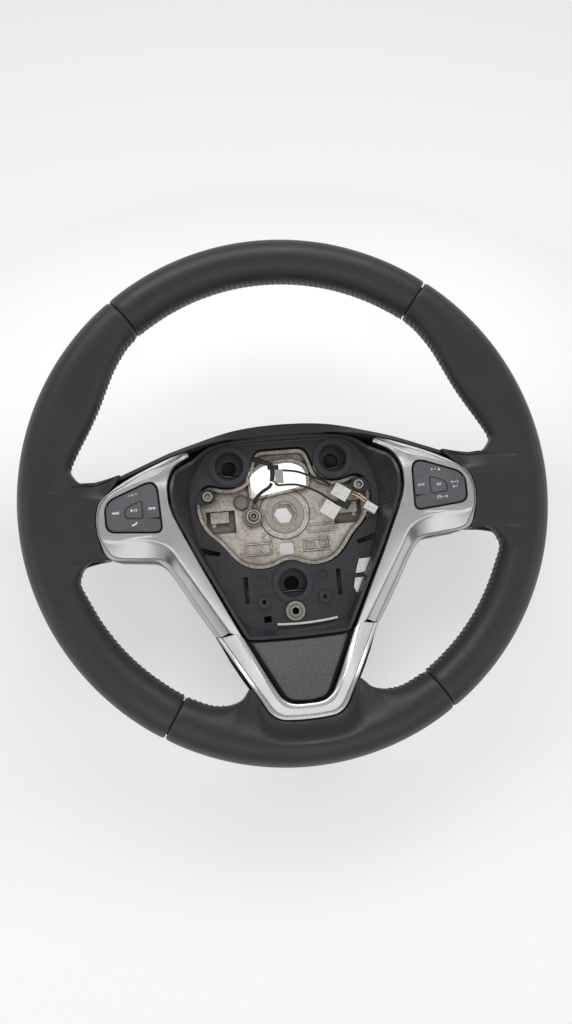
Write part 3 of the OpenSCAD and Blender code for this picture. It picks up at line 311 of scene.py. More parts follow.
def plastic_look(name, colour, rough, grain=0.00008, scale=1400, dust=None):
    """Moulded plastic with a fine spark-eroded grain and, if asked for, dust."""
    look = Look(name, colour, rough)
    look.tint(look.band(look.noise(45, 4), 0.35, 0.75), tuple(c * PALER for c in colour))
    if dust:
        look.tint(look.band(look.noise(150, 6, 0.7), 0.56, 0.78, 0, 0.4), dust)
    look.rough(look.band(look.noise(70, 3), 0.3, 0.7, rough - 0.06, rough + 0.08))
    look.bump(look.noise(scale, 2), grain, 0.6)
    return look.material


def chin_look():
    """A coarse-grained soft panel with pale dust in its grain."""
    look = Look("grained_panel", (0.074, 0.074, 0.082), 0.5)
    look.tint(look.band(look.noise(900, 3), 0.4, 0.65), (0.12, 0.12, 0.13))
    look.tint(look.band(look.noise(60, 4), 0.5, 0.8, 0, 0.4), (0.11, 0.11, 0.115))
    look.bump(look.cells(1300, "SMOOTH_F1"), 0.00018, 0.8)
    return look.material


def casting_look():
    """A raw die casting, stained brown and grey by years of use, with painted shade in its corners and
    recesses and low down.
    """
    look = Look("casting", (0.68, 0.625, 0.545), 0.5, 0.1)
    look.tint(look.band(look.noise(60, 6, 0.65), 0.42, 0.62), (0.44, 0.39, 0.33))
    look.tint(look.band(look.noise(230, 8, 0.75), 0.5, 0.62, 0, 0.9), (0.74, 0.69, 0.61))
    look.tint(look.band(look.noise(420, 7, 0.75), 0.53, 0.66, 0, 0.85), (0.12, 0.10, 0.08))
    look.tint(look.band(look.cells(1500), 0.0, 0.35, 0.45, 0), (0.14, 0.12, 0.10))
    look.tint(look.ring(PLUG_AT, 0.0, 0.0052), (0.30, 0.28, 0.25))
    specks = look.band(look.cells(1150), 0.0, 0.55, 1, 0)
    look.tint(look.times(look.ring(PLUG_AT, 0.0, 0.0050), specks), (0.05, 0.045, 0.04))
    look.tint(look.ring(HUB_AT, 0.0186, 0.0194), (0.13, 0.11, 0.09))
    look.tint(look.ring(HUB_AT, 0.0140, 0.0148), (0.10, 0.085, 0.07))
    look.tint(look.ring(PLUG_AT, 0.0047, 0.0055), (0.06, 0.055, 0.05))
    # Painted shade in corners and recesses.
    look.tint(look.recess_shade(0.004), (0.055, 0.045, 0.035))
    # Painted shade: darker below 18.5 mm, deep in the wheel.
    look.tint(look.band(look.height(), 0.0185, 0.021, 0.75, 0), (0.10, 0.085, 0.065))
    look.rough(look.band(look.noise(120, 5), 0.3, 0.7, 0.4, 0.7))
    look.bump(look.noise(900, 6, 0.7), 0.0005, 0.8)
    look.bump(look.noise(140, 4), 0.0008, 0.5)
    return look.material


def screw_look():
    """Pan heads with a dark edge and painted shade in the drive round a golden middle; the earth screw is
    dirtier.
    """
    look = Look("screw_steel", (0.74, 0.71, 0.66), 0.32, 0.85)
    look.tint(look.band(look.noise(300, 6, 0.7), 0.45, 0.65, 0, 0.6), (0.45, 0.42, 0.36))
    look.tint(look.ring(TRAY_SCREW_AT, 0.0, 0.0018, mirrored=True), (0.50, 0.44, 0.30))
    # Painted shade in the tray screws' drives.
    look.tint(look.ring(TRAY_SCREW_AT, 0.0017, 0.0025, mirrored=True), (0.07, 0.06, 0.05))
    look.tint(look.ring(TRAY_SCREW_AT, 0.0039, 0.006, mirrored=True), (0.10, 0.09, 0.08))
    look.tint(look.ring(EARTH_AT, 0.0, 0.006), (0.66, 0.60, 0.53))
    # Painted shade in the earth screw's drive.
    look.tint(look.ring(EARTH_AT, 0.0008, 0.0021), (0.05, 0.045, 0.04))
    look.tint(look.ring(EARTH_AT, 0.0034, 0.0041), (0.12, 0.10, 0.085))
    look.rough(look.band(look.noise(200, 4), 0.3, 0.7, 0.26, 0.42))
    return look.material


def terminal_look():
    """Spring wire and the earth terminal: dull steel, dark rings on the terminal."""
    look = Look("dull_steel", (0.26, 0.24, 0.21), 0.42, 0.85)
    look.tint(look.ring(EARTH_AT, 0.0050, 0.0060), (0.07, 0.06, 0.055))
    look.tint(look.band(look.noise(400, 5, 0.7), 0.45, 0.65, 0, 0.7), (0.12, 0.10, 0.085))
    return look.material


def bush_look():
    """A dirty zinc bush, dark at its step, with painted shade round its foot and in its bore."""
    look = Look("bush_zinc", (0.30, 0.29, 0.235), 0.5, 0.6)
    look.tint(look.band(look.noise(500, 6, 0.7), 0.42, 0.62, 0, 0.8), (0.46, 0.45, 0.38))
    look.tint(look.band(look.noise(900, 5, 0.7), 0.52, 0.66, 0, 0.7), (0.11, 0.10, 0.08))
    # Painted shade round the bush's foot.
    look.tint(look.ring(BUSH_AT, 0.0070, 0.012), (0.03, 0.028, 0.024))
    look.tint(look.ring(BUSH_AT, 0.0042, 0.0050), (0.14, 0.13, 0.10))
    # Painted shade in the bore.
    look.tint(look.ring(BUSH_AT, 0.0, 0.0026), (0.004, 0.004, 0.004))
    return look.material


def metal_look(name, colour, rough, stain):
    """Bare metal with blotches of a stain."""
    look = Look(name, colour, rough, 0.9)
    look.tint(look.band(look.noise(300, 6, 0.7), 0.5, 0.7, 0, 0.7), stain)
    look.rough(look.band(look.noise(200, 4), 0.3, 0.7, rough - 0.08, rough + 0.1))
    look.bump(look.noise(1500, 3), 0.00006, 0.5)
    return look.material


def paper_look():
    """White label paper, a little grey and specked."""
    look = Look("label_paper", (0.82, 0.815, 0.79), 0.6)
    look.tint(look.band(look.noise(220, 4), 0.5, 0.75, 0, 0.6), (0.66, 0.65, 0.62))
    look.tint(look.band(look.noise(700, 3), 0.56, 0.66, 0, 0.55), (0.36, 0.36, 0.35))
    look.bump(look.noise(160, 3), 0.0006, 0.6)
    return look.material


def mark_look():
    look = Look("mark_white", (0.86, 0.86, 0.84), 0.5)
    look.tint(look.band(look.noise(900, 2), 0.4, 0.7, 0, 0.5), (0.7, 0.7, 0.69))
    return look.material


LEATHER = leather_look()
THREAD = thread_look()
SATIN = satin_look()
BRIGHT = bright_look("bright_trim", (0.66, 0.665, 0.675), 0.26, 1.0)
# Paler copy of the trim for the lower trim's flank: a painted highlight.
FLANK_HIGHLIGHT = bright_look("flank_painted_highlight", (0.95, 0.955, 0.96), 0.3, 0.15)
# Darker copy of the satin silver for the bezels' lips: painted shade.
LIP_SHADE = bright_look("lip_painted_shade", (0.46, 0.465, 0.475), 0.42, 1.0)
CHIN = chin_look()
CASTING = casting_look()
PAPER = paper_look()
MARK = mark_look()
COVER = plastic_look("cover_plastic", (0.052, 0.052, 0.058), 0.40)
TRAY = plastic_look("tray_plastic", (0.030, 0.030, 0.036), 0.32, dust=(0.11, 0.11, 0.115))
SOCKET = plastic_look("socket_plastic", (0.034, 0.034, 0.041), 0.32, dust=(0.10, 0.10, 0.105))
KEY = plastic_look("key_plastic", (0.104, 0.104, 0.114), 0.42, grain=0.00005)
DARK = plastic_look("dark_plastic", (0.016, 0.016, 0.018), 0.5)
FOAM = plastic_look("foam", (0.008, 0.008, 0.009), 0.9)
GIMBAL = plastic_look("gimbal_plastic", (0.08, 0.08, 0.085), 0.5)
BOARD = plastic_look("board_resin", (0.03, 0.11, 0.05), 0.35)
RUBBER = plastic_look("lead_rubber", (0.012, 0.012, 0.013), 0.38, grain=0.00003)
TAPE = plastic_look("harness_tape", (0.020, 0.020, 0.021), 0.5, grain=0.0001, scale=2400)
SLEEVE = plastic_look("sleeve_plastic", (0.36, 0.35, 0.33), 0.55)
WHITE = plastic_look("white_plastic", (0.74, 0.73, 0.70), 0.45)
INSERT = metal_look("hub_steel", (0.50, 0.46, 0.40), 0.5, (0.22, 0.19, 0.16))
SCREW = screw_look()
WIRE = terminal_look()
BUSH = bush_look()
COPPER = metal_look("copper", (0.78, 0.55, 0.38), 0.38, (0.42, 0.26, 0.17))
# Near black: the dark joints round the centre buttons, and painted shade on the chin's ledge and under the
# raised keys' step.
BLACK = plastic_look("black_shade_and_joint", (0.004, 0.004, 0.0045), 0.6)

LOOKS = {
    CASTING: ["armature"],
    INSERT: ["hub_insert"],
    FOAM: ["rim_foam"],
    LEATHER: ["leather_top", "leather_left", "leather_right", "leather_bottom"],
    COVER: ["back_cover"],
    SCREW: ["cover_screws", "tray_screws", "earth_screw"],
    TRAY: ["airbag_tray"],
    SOCKET: ["socket_left", "socket_right", "socket_lower"],
    WIRE: ["spring_wire_left", "spring_wire_right", "spring_wire_lower", "earth_terminal"],
    BUSH: ["damper_bush"],
    SATIN: ["left_bezel", "right_bezel"],
    BRIGHT: ["lower_trim"],
    CHIN: ["chin_pad"],
    DARK: ["left_housing", "right_housing", "left_lid", "right_lid", "cable_tie", "dark_connector"],
    BOARD: ["left_board", "right_board"],
    GIMBAL: ["left_gimbal", "right_gimbal"],
    KEY: ["left_pad", "right_pad", "left_button", "right_button"],
    RUBBER: ["harness_trunk", "earth_lead", "upper_lead", "lower_lead"],
    COPPER: ["copper_leads"],
    SLEEVE: ["grey_sleeve"],
    PAPER: ["upper_tag", "lower_tag", "wall_labels", "lip_strip"],
    WHITE: ["white_connector"],
}


def dress_nodes():
    for material, names in LOOKS.items():
        for name in names:
            mesh = nodes[name].data
            mesh.materials.clear()
            mesh.materials.append(material)


# Floor and light

def floor_look():
    """A pale floor. The camera and glossy surfaces see a glow on it, brightest behind the hub.

    The glow is given by distances, in metres: paler inside the rim's upper half, dimmer far
    behind the rim, a touch brighter far in front, none in the ring under the hub, and white
    behind the hub's window.
    """
    look = Look("floor", (0.5, 0.5, 0.495), 0.9)
    look.set("Specular IOR Level", 0.1)
    upper = look.band(look.away((0.0, 0.11), stretch=(0.5, 1, 0)), 0.085, 0.15, 0.64, 0.47)
    hub = look.band(look.away((0.0005, 0.0305), stretch=(0.75, 1, 0)), 0.0172, 0.0195, 1.2, 0)
    shade = look.band(look.ring((0.002, 0.0035), 0.034, 0.060, 0.002), 0, 1, 1, 0)
    top = look.band(look.away((0.0, -1.0)), 1.28, 1.5, 0, -0.13)
    low = look.band(look.away((0.0, 1.0)), 1.2, 1.3, 0, 0.06)
    pool = look.times(look.times(upper, top, "ADD"), low, "ADD")
    pool = look.times(look.times(pool, shade), hub, "MAXIMUM")
    path = look.tree.nodes.new("ShaderNodeLightPath")
    seen = look.times(path.outputs["Is Camera Ray"], path.outputs["Is Glossy Ray"], "MAXIMUM")
    look.set("Emission Color", (1, 1, 0.99, 1))
    look.tree.links.new(look.times(seen, pool), look.shader.inputs["Emission Strength"])
    return look.material


FLOOR_REACH = 6


def add_stage():
    """The floor on which the wheel lies."""
    level = cad_box[0][2]
    corners = [(x * FLOOR_REACH, y * FLOOR_REACH, level) for x, y in ((-1, -1), (1, -1), (1, 1), (-1, 1))]
    mesh = bpy.data.meshes.new("floor")
    mesh.from_pydata(corners, [], [[0, 1, 2, 3]])
    floor = bpy.data.objects.new("floor", mesh)
    bpy.context.scene.collection.objects.link(floor)
    mesh.materials.append(floor_look())


def add_lamp(name, place, target, size, power):
    data = bpy.data.lights.new(name, "AREA")
    data.shape = "RECTANGLE"
    data.size = size[0]
    data.size_y = size[1]
    data.energy = power
    lamp = bpy.data.objects.new(name, data)
    lamp.location = place
    lamp.rotation_euler = (Vector(target) - Vector(place)).to_track_quat("-Z", "Y").to_euler()
    bpy.context.scene.collection.objects.link(lamp)


def add_light():
    """An even white room and four soft lamps."""
    world = bpy.data.worlds.new("room")
    bpy.context.scene.world = world
    world.use_nodes = True
    room = world.node_tree.nodes["Background"].inputs
    room["Color"].default_value = (1, 1, 1, 1)
    room["Strength"].default_value = 0.46
    add_lamp("front", (0, -1.0, 1.6), (0, -0.05, 0.05), (2.4, 1.4), 7)
    add_lamp("back", (-0.05, 1.45, 1.25), (0, 0, 0.05), (2.2, 0.6), 14)
    add_lamp("left", (-2.0, -0.3, 0.9), (0, 0, 0.05), (1.8, 1.0), 4)
    add_lamp("right", (2.0, -0.3, 0.9), (0, 0, 0.05), (1.8, 1.0), 4)
    bpy.context.scene.view_settings.view_transform = "Standard"


# Trim edges, as in the CAD: a row holds the outer edge, the ridge and the inner edge of a trim
# piece, in millimetres, the heights counted from the rim's middle plane

RIM_Z = 68
BEZEL_ROWS = [
    [[67.6, 46.2, -18.8], [67.4, 45, -18.2], [67.4, 43.6, -18.6]],
    [[71, 46.9, -18], [70.6, 44.8, -17], [70.4, 42, -17.6]],
    [[80.8, 43.4, -15.5], [79.2, 38.6, -11.2], [77.4, 36.6, -13.2]],
    [[101.1, 34.2, -10], [92, 30.2, -3], [81, 30.4, -8.6]],
    [[115, 26.4, -6], [107, 25, -0.6], [83.2, 22.5, -5]],
    [[124, 19.8, -3], [121.5, 18.8, 0.2], [83.6, 15, -3.6]],
    [[130.7, 12.9, -1], [128.6, 11.5, 0.6], [83.2, 9, -3.5]],
    [[133.2, 3.6, -0.3], [131, 3.2, 0.8], [82, 4, -3.5]],
    [[133.3, -3.5, -0.2], [131.2, -3.2, 0.8], [81, 0.5, -3.5]],
    [[132, -12, -0.6], [130, -11.6, 0.6], [79.5, -3, -3.6]],
    [[126.7, -25, -2.5], [124, -13.2, 0], [77.5, -8, -3.9]],
    [[112, -27.9, -5.5], [108, -13.4, -0.6], [75.2, -13.2, -4.4]],
    [[96.8, -29.3, -10], [95, -15.8, -1.6], [72.3, -19.5, -5.5]],
    [[90.3, -33.5, -12.5], [84.5, -22, -3.5], [69, -27, -6.8]],
    [[84.8, -40.9, -14.5], [77, -34.5, -6], [64, -38, -8.7]],
    [[73, -62.5, -19.5], [62, -60, -11.5], [53.5, -60, -12.8]],
    [[59.2, -85.8, -24.5], [48.7, -83.5, -17], [40.2, -88, -17]]]
LOWER_ROWS = [
    [[58.3, -86.3, -24.2], [44.4, -84.9, -16.6], [39.2, -88.5, -17.2]],
    [[48, -104, -18], [36.6, -102.8, -12], [31, -105.1, -13.2]],
    [[37.7, -121.4, -10.2], [28, -119.2, -6.6], [22.3, -122.3, -8]],
    [[32.1, -131, -7.5], [23.7, -127.6, -5], [18.3, -129.5, -6.2]],
    [[26.8, -140, -6.2], [19.6, -134, -4.2], [15.1, -132.6, -5.5]],
    [[19.8, -145.1, -5.7], [15.4, -137.3, -3.9], [11.8, -134.5, -5.2]],
    [[10, -146.5, -5.5], [8.6, -138.9, -3.8], [6.9, -135.5, -5.1]],
    [[0, -146.8, -5.5], [0, -139.2, -3.8], [0, -135.7, -5.1]]]
CROWN_END = [116, 33.4, -16.4]
LIP_W = 3.4
LIP_H = 5
LIP_STEP = 0.9
GROOVE = 1.4
# Steps of a trim section: its lip up to the groove, and its flank from the groove to the ridge
LIP_TO = 12
FLANK_FROM = 23
FLANK_TO = 33
TRIM_T = 2.2
WALL_IN = 6
TRIM_GAP = 0.6
DOWN = Vector((0, 0, -1))


def through_rows(rows, steps):
    """Rows of three points on smooth curves through the given rows."""
    flat = [[c for point in row for c in point] for row in rows]
    return [[r[0:3], r[3:6], r[6:9]] for r in through(flat, steps)]


def rounded(corners, steps=4):
    """A path through corners; each is (point, reach of its rounding)."""
    path = [corners[0][0]]
    for i in range(1, len(corners) - 1):
        middle, reach = corners[i]
        before = corners[i - 1][0] - middle
        after = corners[i + 1][0] - middle
        first = middle + before.normalized() * min(reach, before.length * 0.48)
        last = middle + after.normalized() * min(reach, after.length * 0.48)
        for k in range(steps + 1):
            t = k / steps
            path.append((1 - t) ** 2 * first + 2 * t * (1 - t) * middle + t * t * last)
    path.append(corners[-1][0])
    return path


def trim_section(row):
    """Front and rear path over a trim piece, from its outer foot to its inner foot."""
    lift = Vector((0, 0, RIM_Z))
    o, c, i = (Vector(p) + lift for p in row)
    across = Vector((i.x - o.x, i.y - o.y, 0))
    room = min(1, across.length / 12)
    across.normalize()
    t = TRIM_T * room
    lip = min((LIP_W - 0.5) * room, Vector((c.x - o.x, c.y - o.y)).length * 0.4)
    step = LIP_STEP * room
    soft = 2.2 * room
    ridge = c + (o - c) * 0.16 + DOWN * 0.2
    deep = GROOVE * room
    tight = 0.15 * room
    front = [
        (o + DOWN * LIP_H, 0), (o + DOWN * 0.1, 0.6 * room), (o + across * lip, tight),
        (o + across * (lip + 0.1 * room) + DOWN * deep, tight),
        (o + across * (lip + 0.8 * room) + DOWN * deep, tight),
        (o + across * (lip + 1.0 * room) - DOWN * step, tight), (ridge, 1.2 * room), (c, soft),
        ((c + i) / 2, 0.1), (i - across * 0.2, 1.1 * room), (i + DOWN * WALL_IN, 0)]
    rear = [
        (o + DOWN * LIP_H + across * t, 0), (o + DOWN * (t + 0.4) + across * t, 0.3 * room),
        (o + across * (lip + 0.2 * room) + DOWN * t, tight),
        (o + across * (lip + 0.6 * room) + DOWN * t, tight),
        (o + across * (lip + 1.1 * room) + DOWN * t, tight),
        (o + across * (lip + 1.9 * room) + DOWN * (t - step), tight), (ridge + DOWN * t, 1.2 * room),
        (c + DOWN * t, soft), ((c + i) / 2 + DOWN * t, 0.1),
        (i - across * (t + 0.2) + DOWN * t, 1.1 * room), (i - across * t + DOWN * WALL_IN, 0)]
    return rounded(front), rounded(rear)


def loft(sections):
    """Points and faces of a closed plate from front and rear paths."""
    points = []
    faces = []
    for front, rear in sections:
        points += front + rear[::-1]
    n = len(sections[0][0]) * 2
    m = len(sections)
    for i in range(m - 1):
        for j in range(n):
            a = i * n + j
            b = i * n + (j + 1) % n
            faces.append([a, a + n, b + n, b])
    for j in range(n // 2 - 1):
        faces.append([j, j + 1, n - 2 - j, n - 1 - j])
        last = (m - 1) * n
        faces.append([last + j + 1, last + j, last + n - 1 - j, last + n - 2 - j])
    return points, faces


# Switches: a frame of their own, in which z = 0 is the face of the four-way pad

POD = Vector((107.5, 8, 66.6))
POD_TILT = math.radians(5)
OPENING_GROWTH = (1.024, 1.026)
POD_OPENING = [(-17.2, 20, 11), (19.6, 5.3, 8.5), (19.4, -15.7, 6.5), (-18.8, -18.7, 6)]


def in_pod(u, v, w, side):
    """A point of the right or left switch's frame, in the part's frame."""
    x = u * math.cos(POD_TILT) - w * math.sin(POD_TILT)
    z = u * math.sin(POD_TILT) + w * math.cos(POD_TILT)
    return Vector(((POD.x + x) * side, POD.y + v, POD.z + z))


def soft_loop(corners, steps):
    """A closed flat outline with rounded corners; a corner is (x, y, reach)."""
    outline = []
    count = len(corners)
    for i, (x, y, reach) in enumerate(corners):
        middle = Vector((x, y))
        before = Vector(corners[i - 1][:2]) - middle
        after = Vector(corners[(i + 1) % count][:2]) - middle
        first = middle + before.normalized() * min(reach, before.length * 0.48)
        last = middle + after.normalized() * min(reach, after.length * 0.48)
        for k in range(steps + 1):
            t = k / steps
            outline.append((1 - t) ** 2 * first + 2 * t * (1 - t) * middle + t * t * last)
    return outline


def cut(piece, cutter):
    """Takes the cutter out of the piece and drops the cutter."""
    modifier = piece.modifiers.new("cut", "BOOLEAN")
    modifier.operation = "DIFFERENCE"
    modifier.solver = "EXACT"
    modifier.object = cutter
    graph = bpy.context.evaluated_depsgraph_get()
    mesh = bpy.data.meshes.new_from_object(piece.evaluated_get(graph))
    piece.modifiers.clear()
    piece.data = mesh
    bpy.data.objects.remove(cutter)


def soften(piece, degrees):
    """Smooth shading, but for edges sharper than this."""
    mesh = piece.data
    mesh.polygons.foreach_set("use_smooth", [True] * len(mesh.polygons))
    mesh.set_sharp_from_angle(angle=math.radians(degrees))


def prism(outline, low, high, place):
    """Points and faces of an upright prism; place turns local coordinates into the part's."""
    n = len(outline)
    points = [place(p[0], p[1], z) for z in (low, high) for p in outline]
    faces = [[k, (k + 1) % n, n + (k + 1) % n, n + k] for k in range(n)]
    return points, faces + [list(range(n - 1, -1, -1)), list(range(n, 2 * n))]


def face_outward(piece):
    work = bmesh.new()
    work.from_mesh(piece.data)
    bmesh.ops.recalc_face_normals(work, faces=work.faces)
    work.to_mesh(piece.data)
    work.free()


def add_bezels():
    """Each bezel with its lip in painted shade, its ridge and groove, and the switch opening."""
    for side, name in ((-1, "left"), (1, "right")):
        rows = through_rows(BEZEL_ROWS, 6)
        points, faces = loft([trim_section(row) for row in rows])
        points = [(p[0] * side, p[1], p[2]) for p in points]
        piece = add_mesh(f"{name}_bezel_skin", points, faces, None, SATIN)
        piece.data.materials.append(LIP_SHADE)
        around = len(points) // len(rows)
        # Faces of the lip get the painted shade.
        for index in range((len(rows) - 1) * around):
            if index % around < LIP_TO:
                piece.data.polygons[index].material_index = 1
        face_outward(piece)
        wide, tall = OPENING_GROWTH
        opening = soft_loop([(x * wide, y * tall, r) for x, y, r in POD_OPENING], 10)
        cutter = add_mesh("cutter", *prism(opening, -8, 8, lambda u, v, w: in_pod(u, v, w, side)),
                          None, SATIN)
        face_outward(cutter)
        cut(piece, cutter)
        soften(piece, 38)
        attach(piece, "wheel")
        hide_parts(f"{name}_bezel")


def add_lower_trim():
    """The bright band; its flank, paler than its lip and its bevel, is a painted highlight."""
    half = through_rows(LOWER_ROWS, 8)
    rows = half + [[[-p[0], p[1], p[2]] for p in row] for row in half[-2::-1]]
    points, faces = loft([trim_section(row) for row in rows])
    piece = add_mesh("lower_trim_skin", points, faces, "wheel", BRIGHT)
    piece.data.materials.append(FLANK_HIGHLIGHT)
    around = len(points) // len(rows)
    # Faces of the flank get the painted highlight.
    for index in range((len(rows) - 1) * around):
        if FLANK_FROM <= index % around < FLANK_TO:
            piece.data.polygons[index].material_index = 1
    face_outward(piece)
    soften(piece, 38)
    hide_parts("lower_trim")


# The panel inside the lower trim: half width, place and height of its edge, row by row

CHIN_ROWS = [[36.2, -92.4, -17.6], [30.6, -103.5, -14], [24.5, -115, -10.6], [18.6, -126.5, -7.9],
             [15.4, -131, -7.2], [11.4, -133.1, -6.9]]


CHIN_STEPS = 28
CHIN_EDGE = 0.07


def chin_section(row, drop):
    """Front and rear line across the panel: crowned, rounded off at both edges."""
    half = row[0] - 1.9
    top = RIM_Z + row[2]
    front = []
    rear = []
    for k in range(CHIN_STEPS + 1):
        u = math.sin(math.pi * (k / CHIN_STEPS - 0.5))
        edge = max(0, (abs(u) - 0.93) / CHIN_EDGE)
        lift = 1.2 * (1 - u * u) - 2.0 * edge * edge - drop
        y = row[1] - 0.9 * (1 - u * u)
        front.append(Vector((half * u, y, top + lift)))
        rear.append(Vector(((half - 0.5) * u, y + 0.3, top - 4)))
    return front, rear


def add_chin():
    """The panel, and a black ledge under its edge, painted shade in the gap round it."""
    rows = through(CHIN_ROWS, 5)
    drops = [0.0] * (len(rows) - 4) + [0.15, 0.5, 1.1, 2.0]
    piece = add_mesh("chin_skin", *loft([chin_section(r, d) for r, d in zip(rows, drops)]), "wheel", CHIN)
    face_outward(piece)
    soften(piece, 50)
    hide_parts("chin_pad")
    ledge = []
    for row in through([[37.4, -90.6, -18.2], *CHIN_ROWS[:4], [16, -131.5, -7.2], [11.5, -135.4, -6.9]], 4):
        level = RIM_Z + row[2] - 4.6
        across = [Vector(((row[0] + 0.9) * (k / 4 - 1), row[1], level)) for k in range(9)]
        ledge.append((across, [p + DOWN * 1.2 for p in across]))
    # The ledge is near black: painted shade in the gap round the panel.
    shade_ledge = add_mesh("chin_shade_ledge", *loft(ledge), "wheel", BLACK)
    face_outward(shade_ledge)


# The rim's leather. A station is [angle from twelve o'clock, x and y of the inner edge, upper
# and lower height of that edge from the rim's middle plane, share of spoke shape].

RIM_R = 185
GRIP = 31
RIM_UP = 8
THUMB_IN = 10
UPPER_SEAM = 38
LOWER_SEAM = 147.7
SEAM_W = 0.8
LEATHER_T = 1.3
SEAM_ANGLE = math.degrees(math.asin(SEAM_W / 2 / (RIM_R - GRIP / 2)))


def plain(s):
    """A station away from the spokes; the thumb rests bulge inwards under the upper seams."""
    lobe = math.sin(math.radians((s - UPPER_SEAM) * 3.6)) ** 2
    r = RIM_R - GRIP - (THUMB_IN * lobe if UPPER_SEAM < s < UPPER_SEAM + 50 else 0)
    a = math.radians(s)
    return [s, r * math.sin(a), RIM_UP + r * math.cos(a), 0.6, -0.6, 0]


def by_trim(s, edge, middle, drop, below, share, reach=TRIM_GAP):
    """A station whose inner edge keeps so far outside a trim piece's outer edge."""
    out = Vector(edge[:2])
    out += (out - Vector(middle)).normalized() * reach
    return [s, out.x, out.y, edge[2] - drop, edge[2] - below, share]


def top_stations():
    right = [plain(s) for s in (0, 7, 14, 21, 28, 34, 36.5, UPPER_SEAM - SEAM_ANGLE)]
    left = [[-st[0], -st[1], *st[2:]] for st in right[:0:-1]]
    return left + right


def side_stations():
    pod = (95, 2)
    outer = [row[0] for row in BEZEL_ROWS]
    between = on_curve([row[0] for row in BEZEL_ROWS], 9.5)
    return [
        *[plain(s) for s in (UPPER_SEAM + SEAM_ANGLE, 39.5, 43, 49, 55, 61, 67, 73)],
        [77.5, 147.5, 38, 0.6, -0.6, 0.1],
        [80, 146, 32.2, 0, -3, 0.3],
        [82.5, 142.3, 28.2, -1, -8, 0.5],
        [85, 137, 26.6, -3, -14, 0.7],
        [87.3, 130.5, 27.4, -7, -20, 0.85],
        by_trim(89, CROWN_END, pod, -2, 12, 0.95),
        by_trim(90.4, outer[5], pod, 0.6, 25, 1),
        by_trim(92.6, outer[6], pod, 0.4, 27, 1),
        by_trim(95.2, outer[7], pod, 0.4, 28, 1),
        by_trim(97.4, outer[8], pod, 0.4, 28, 1),
        by_trim(99.6, outer[9], pod, 0.5, 27, 1),
        by_trim(100.9, between, pod, 1, 25, 0.98, 1),
        by_trim(102, outer[10], pod, 1.5, 22, 0.95, 1),
        [103.2, 131.5, -25.6, -3, -17, 0.7],
        [104.4, 137.6, -26.9, -1.5, -10, 0.5],
        [105.8, 142.4, -30.2, -0.2, -4, 0.3],
        [107.4, 145.4, -35.8, 0.5, -1.2, 0.15],
        [109.4, 146.2, -42, 0.6, -0.6, 0.05],
        *[plain(s) for s in (113, 119, 125, 131, 137, 143, 146.2, LOWER_SEAM - SEAM_ANGLE)]]


def bottom_stations():
    chin = (0, -100)
    outer = [row[0] for row in LOWER_ROWS]
    right = [
        *[plain(s) for s in (LOWER_SEAM + SEAM_ANGLE, 149.2)],
        [153, 66.5, -130, 0.6, -1, 0.05],
        [157, 57, -131.6, 0.4, -2, 0.15],
        [160.5, 49.3, -130.8, 0, -5, 0.3],
        [163, 43.9, -128.6, -3, -10, 0.5],
        by_trim(165, on_curve(outer, 2.1), chin, -1, 12, 0.7, 0.6),
        by_trim(167.5, outer[3], chin, 0.6, 16, 0.4),
        by_trim(170.5, outer[4], chin, 0.6, 18, 0.4),
        by_trim(173.6, outer[5], chin, 0.5, 18, 0.4),
        by_trim(177, outer[6], chin, 0.5, 18, 0.4),
        by_trim(180, outer[7], chin, 0.5, 18, 0.4)]
    return right + [[360 - st[0], -st[1], *st[2:]] for st in right[-2::-1]]


def rim_section(st, depth, outer_steps=22, inner_steps=18):
    """The closed section of the rim at a station, so deep inside the leather's outer surface."""
    s = math.radians(st[0])
    inner = Vector(st[1:3])
    outer = Vector((RIM_R * math.sin(s), RIM_UP + RIM_R * math.cos(s)))
    out = (outer - inner).normalized()
    a = GRIP / 2
    middle = outer - out * a
    reach = (outer - inner).length - a - depth
    b = GRIP / 2 - depth
    share = st[5]
    lobe = min(1, max(0, (st[3] - st[4] - 1.2) / 10))
    top = st[3] - depth * lobe
    low = st[4] + depth * lobe
    ring = []
    for k in range(outer_steps + 1):
        f = math.radians(-90 + 180 * k / outer_steps)
        ring.append((*(middle + out * (a - depth) * math.cos(f)), RIM_Z + b * math.sin(f)))
    upper = []
    lower = []
    for k in range(1, inner_steps + 1):
        f = math.radians(90 * k / inner_steps)
        x = math.sin(f)
        y = math.cos(f)
        bow = 0.5 + 0.5 * math.cos(math.pi * x)
        point = middle - out * reach * x
        upper.append((*point, RIM_Z + (1 - share) * (b * y + top * x * x)
                      + share * (top + (b - top) * bow)))
        lower.append((*point, RIM_Z + (1 - share) * (low * x * x - b * y)
                      + share * (low - (b + low) * bow)))
    return ring + upper + lower[::-1]


def seam_dip(s, ends):
    """How far the leather dips where it turns into a seam."""
    away = min(abs(s - e) for e in ends) / SEAM_ANGLE
    return 0.8 * math.exp(-((away / 2.0) ** 1.5)) + 0.25 * math.exp(-away / 9)


def leather_panel(name, stations, side=1):
    """One closed panel of leather, and the dense stations it was made from."""
    ends = (stations[0][0], stations[-1][0])
    dense = through(stations, 5)
    dips = [seam_dip(st[0], ends) for st in dense]
    skin = [rim_section(st, dip) for st, dip in zip(dense, dips)]
    lining = [rim_section(st, dip + LEATHER_T) for st, dip in zip(dense, dips)]
    rings = skin + lining[::-1]
    n = len(rings[0])
    m = len(rings)
    points = [(p[0] * side, p[1], p[2]) for ring in rings for p in ring]
    faces = [[i * n + j, i * n + (j + 1) % n, (i + 1) % m * n + (j + 1) % n, (i + 1) % m * n + j]
             for i in range(m) for j in range(n)]
    piece = add_mesh(f"{name}_skin", points, faces, "wheel", LEATHER)
    face_outward(piece)
    soften(piece, 50)
    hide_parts(name)
    return dense


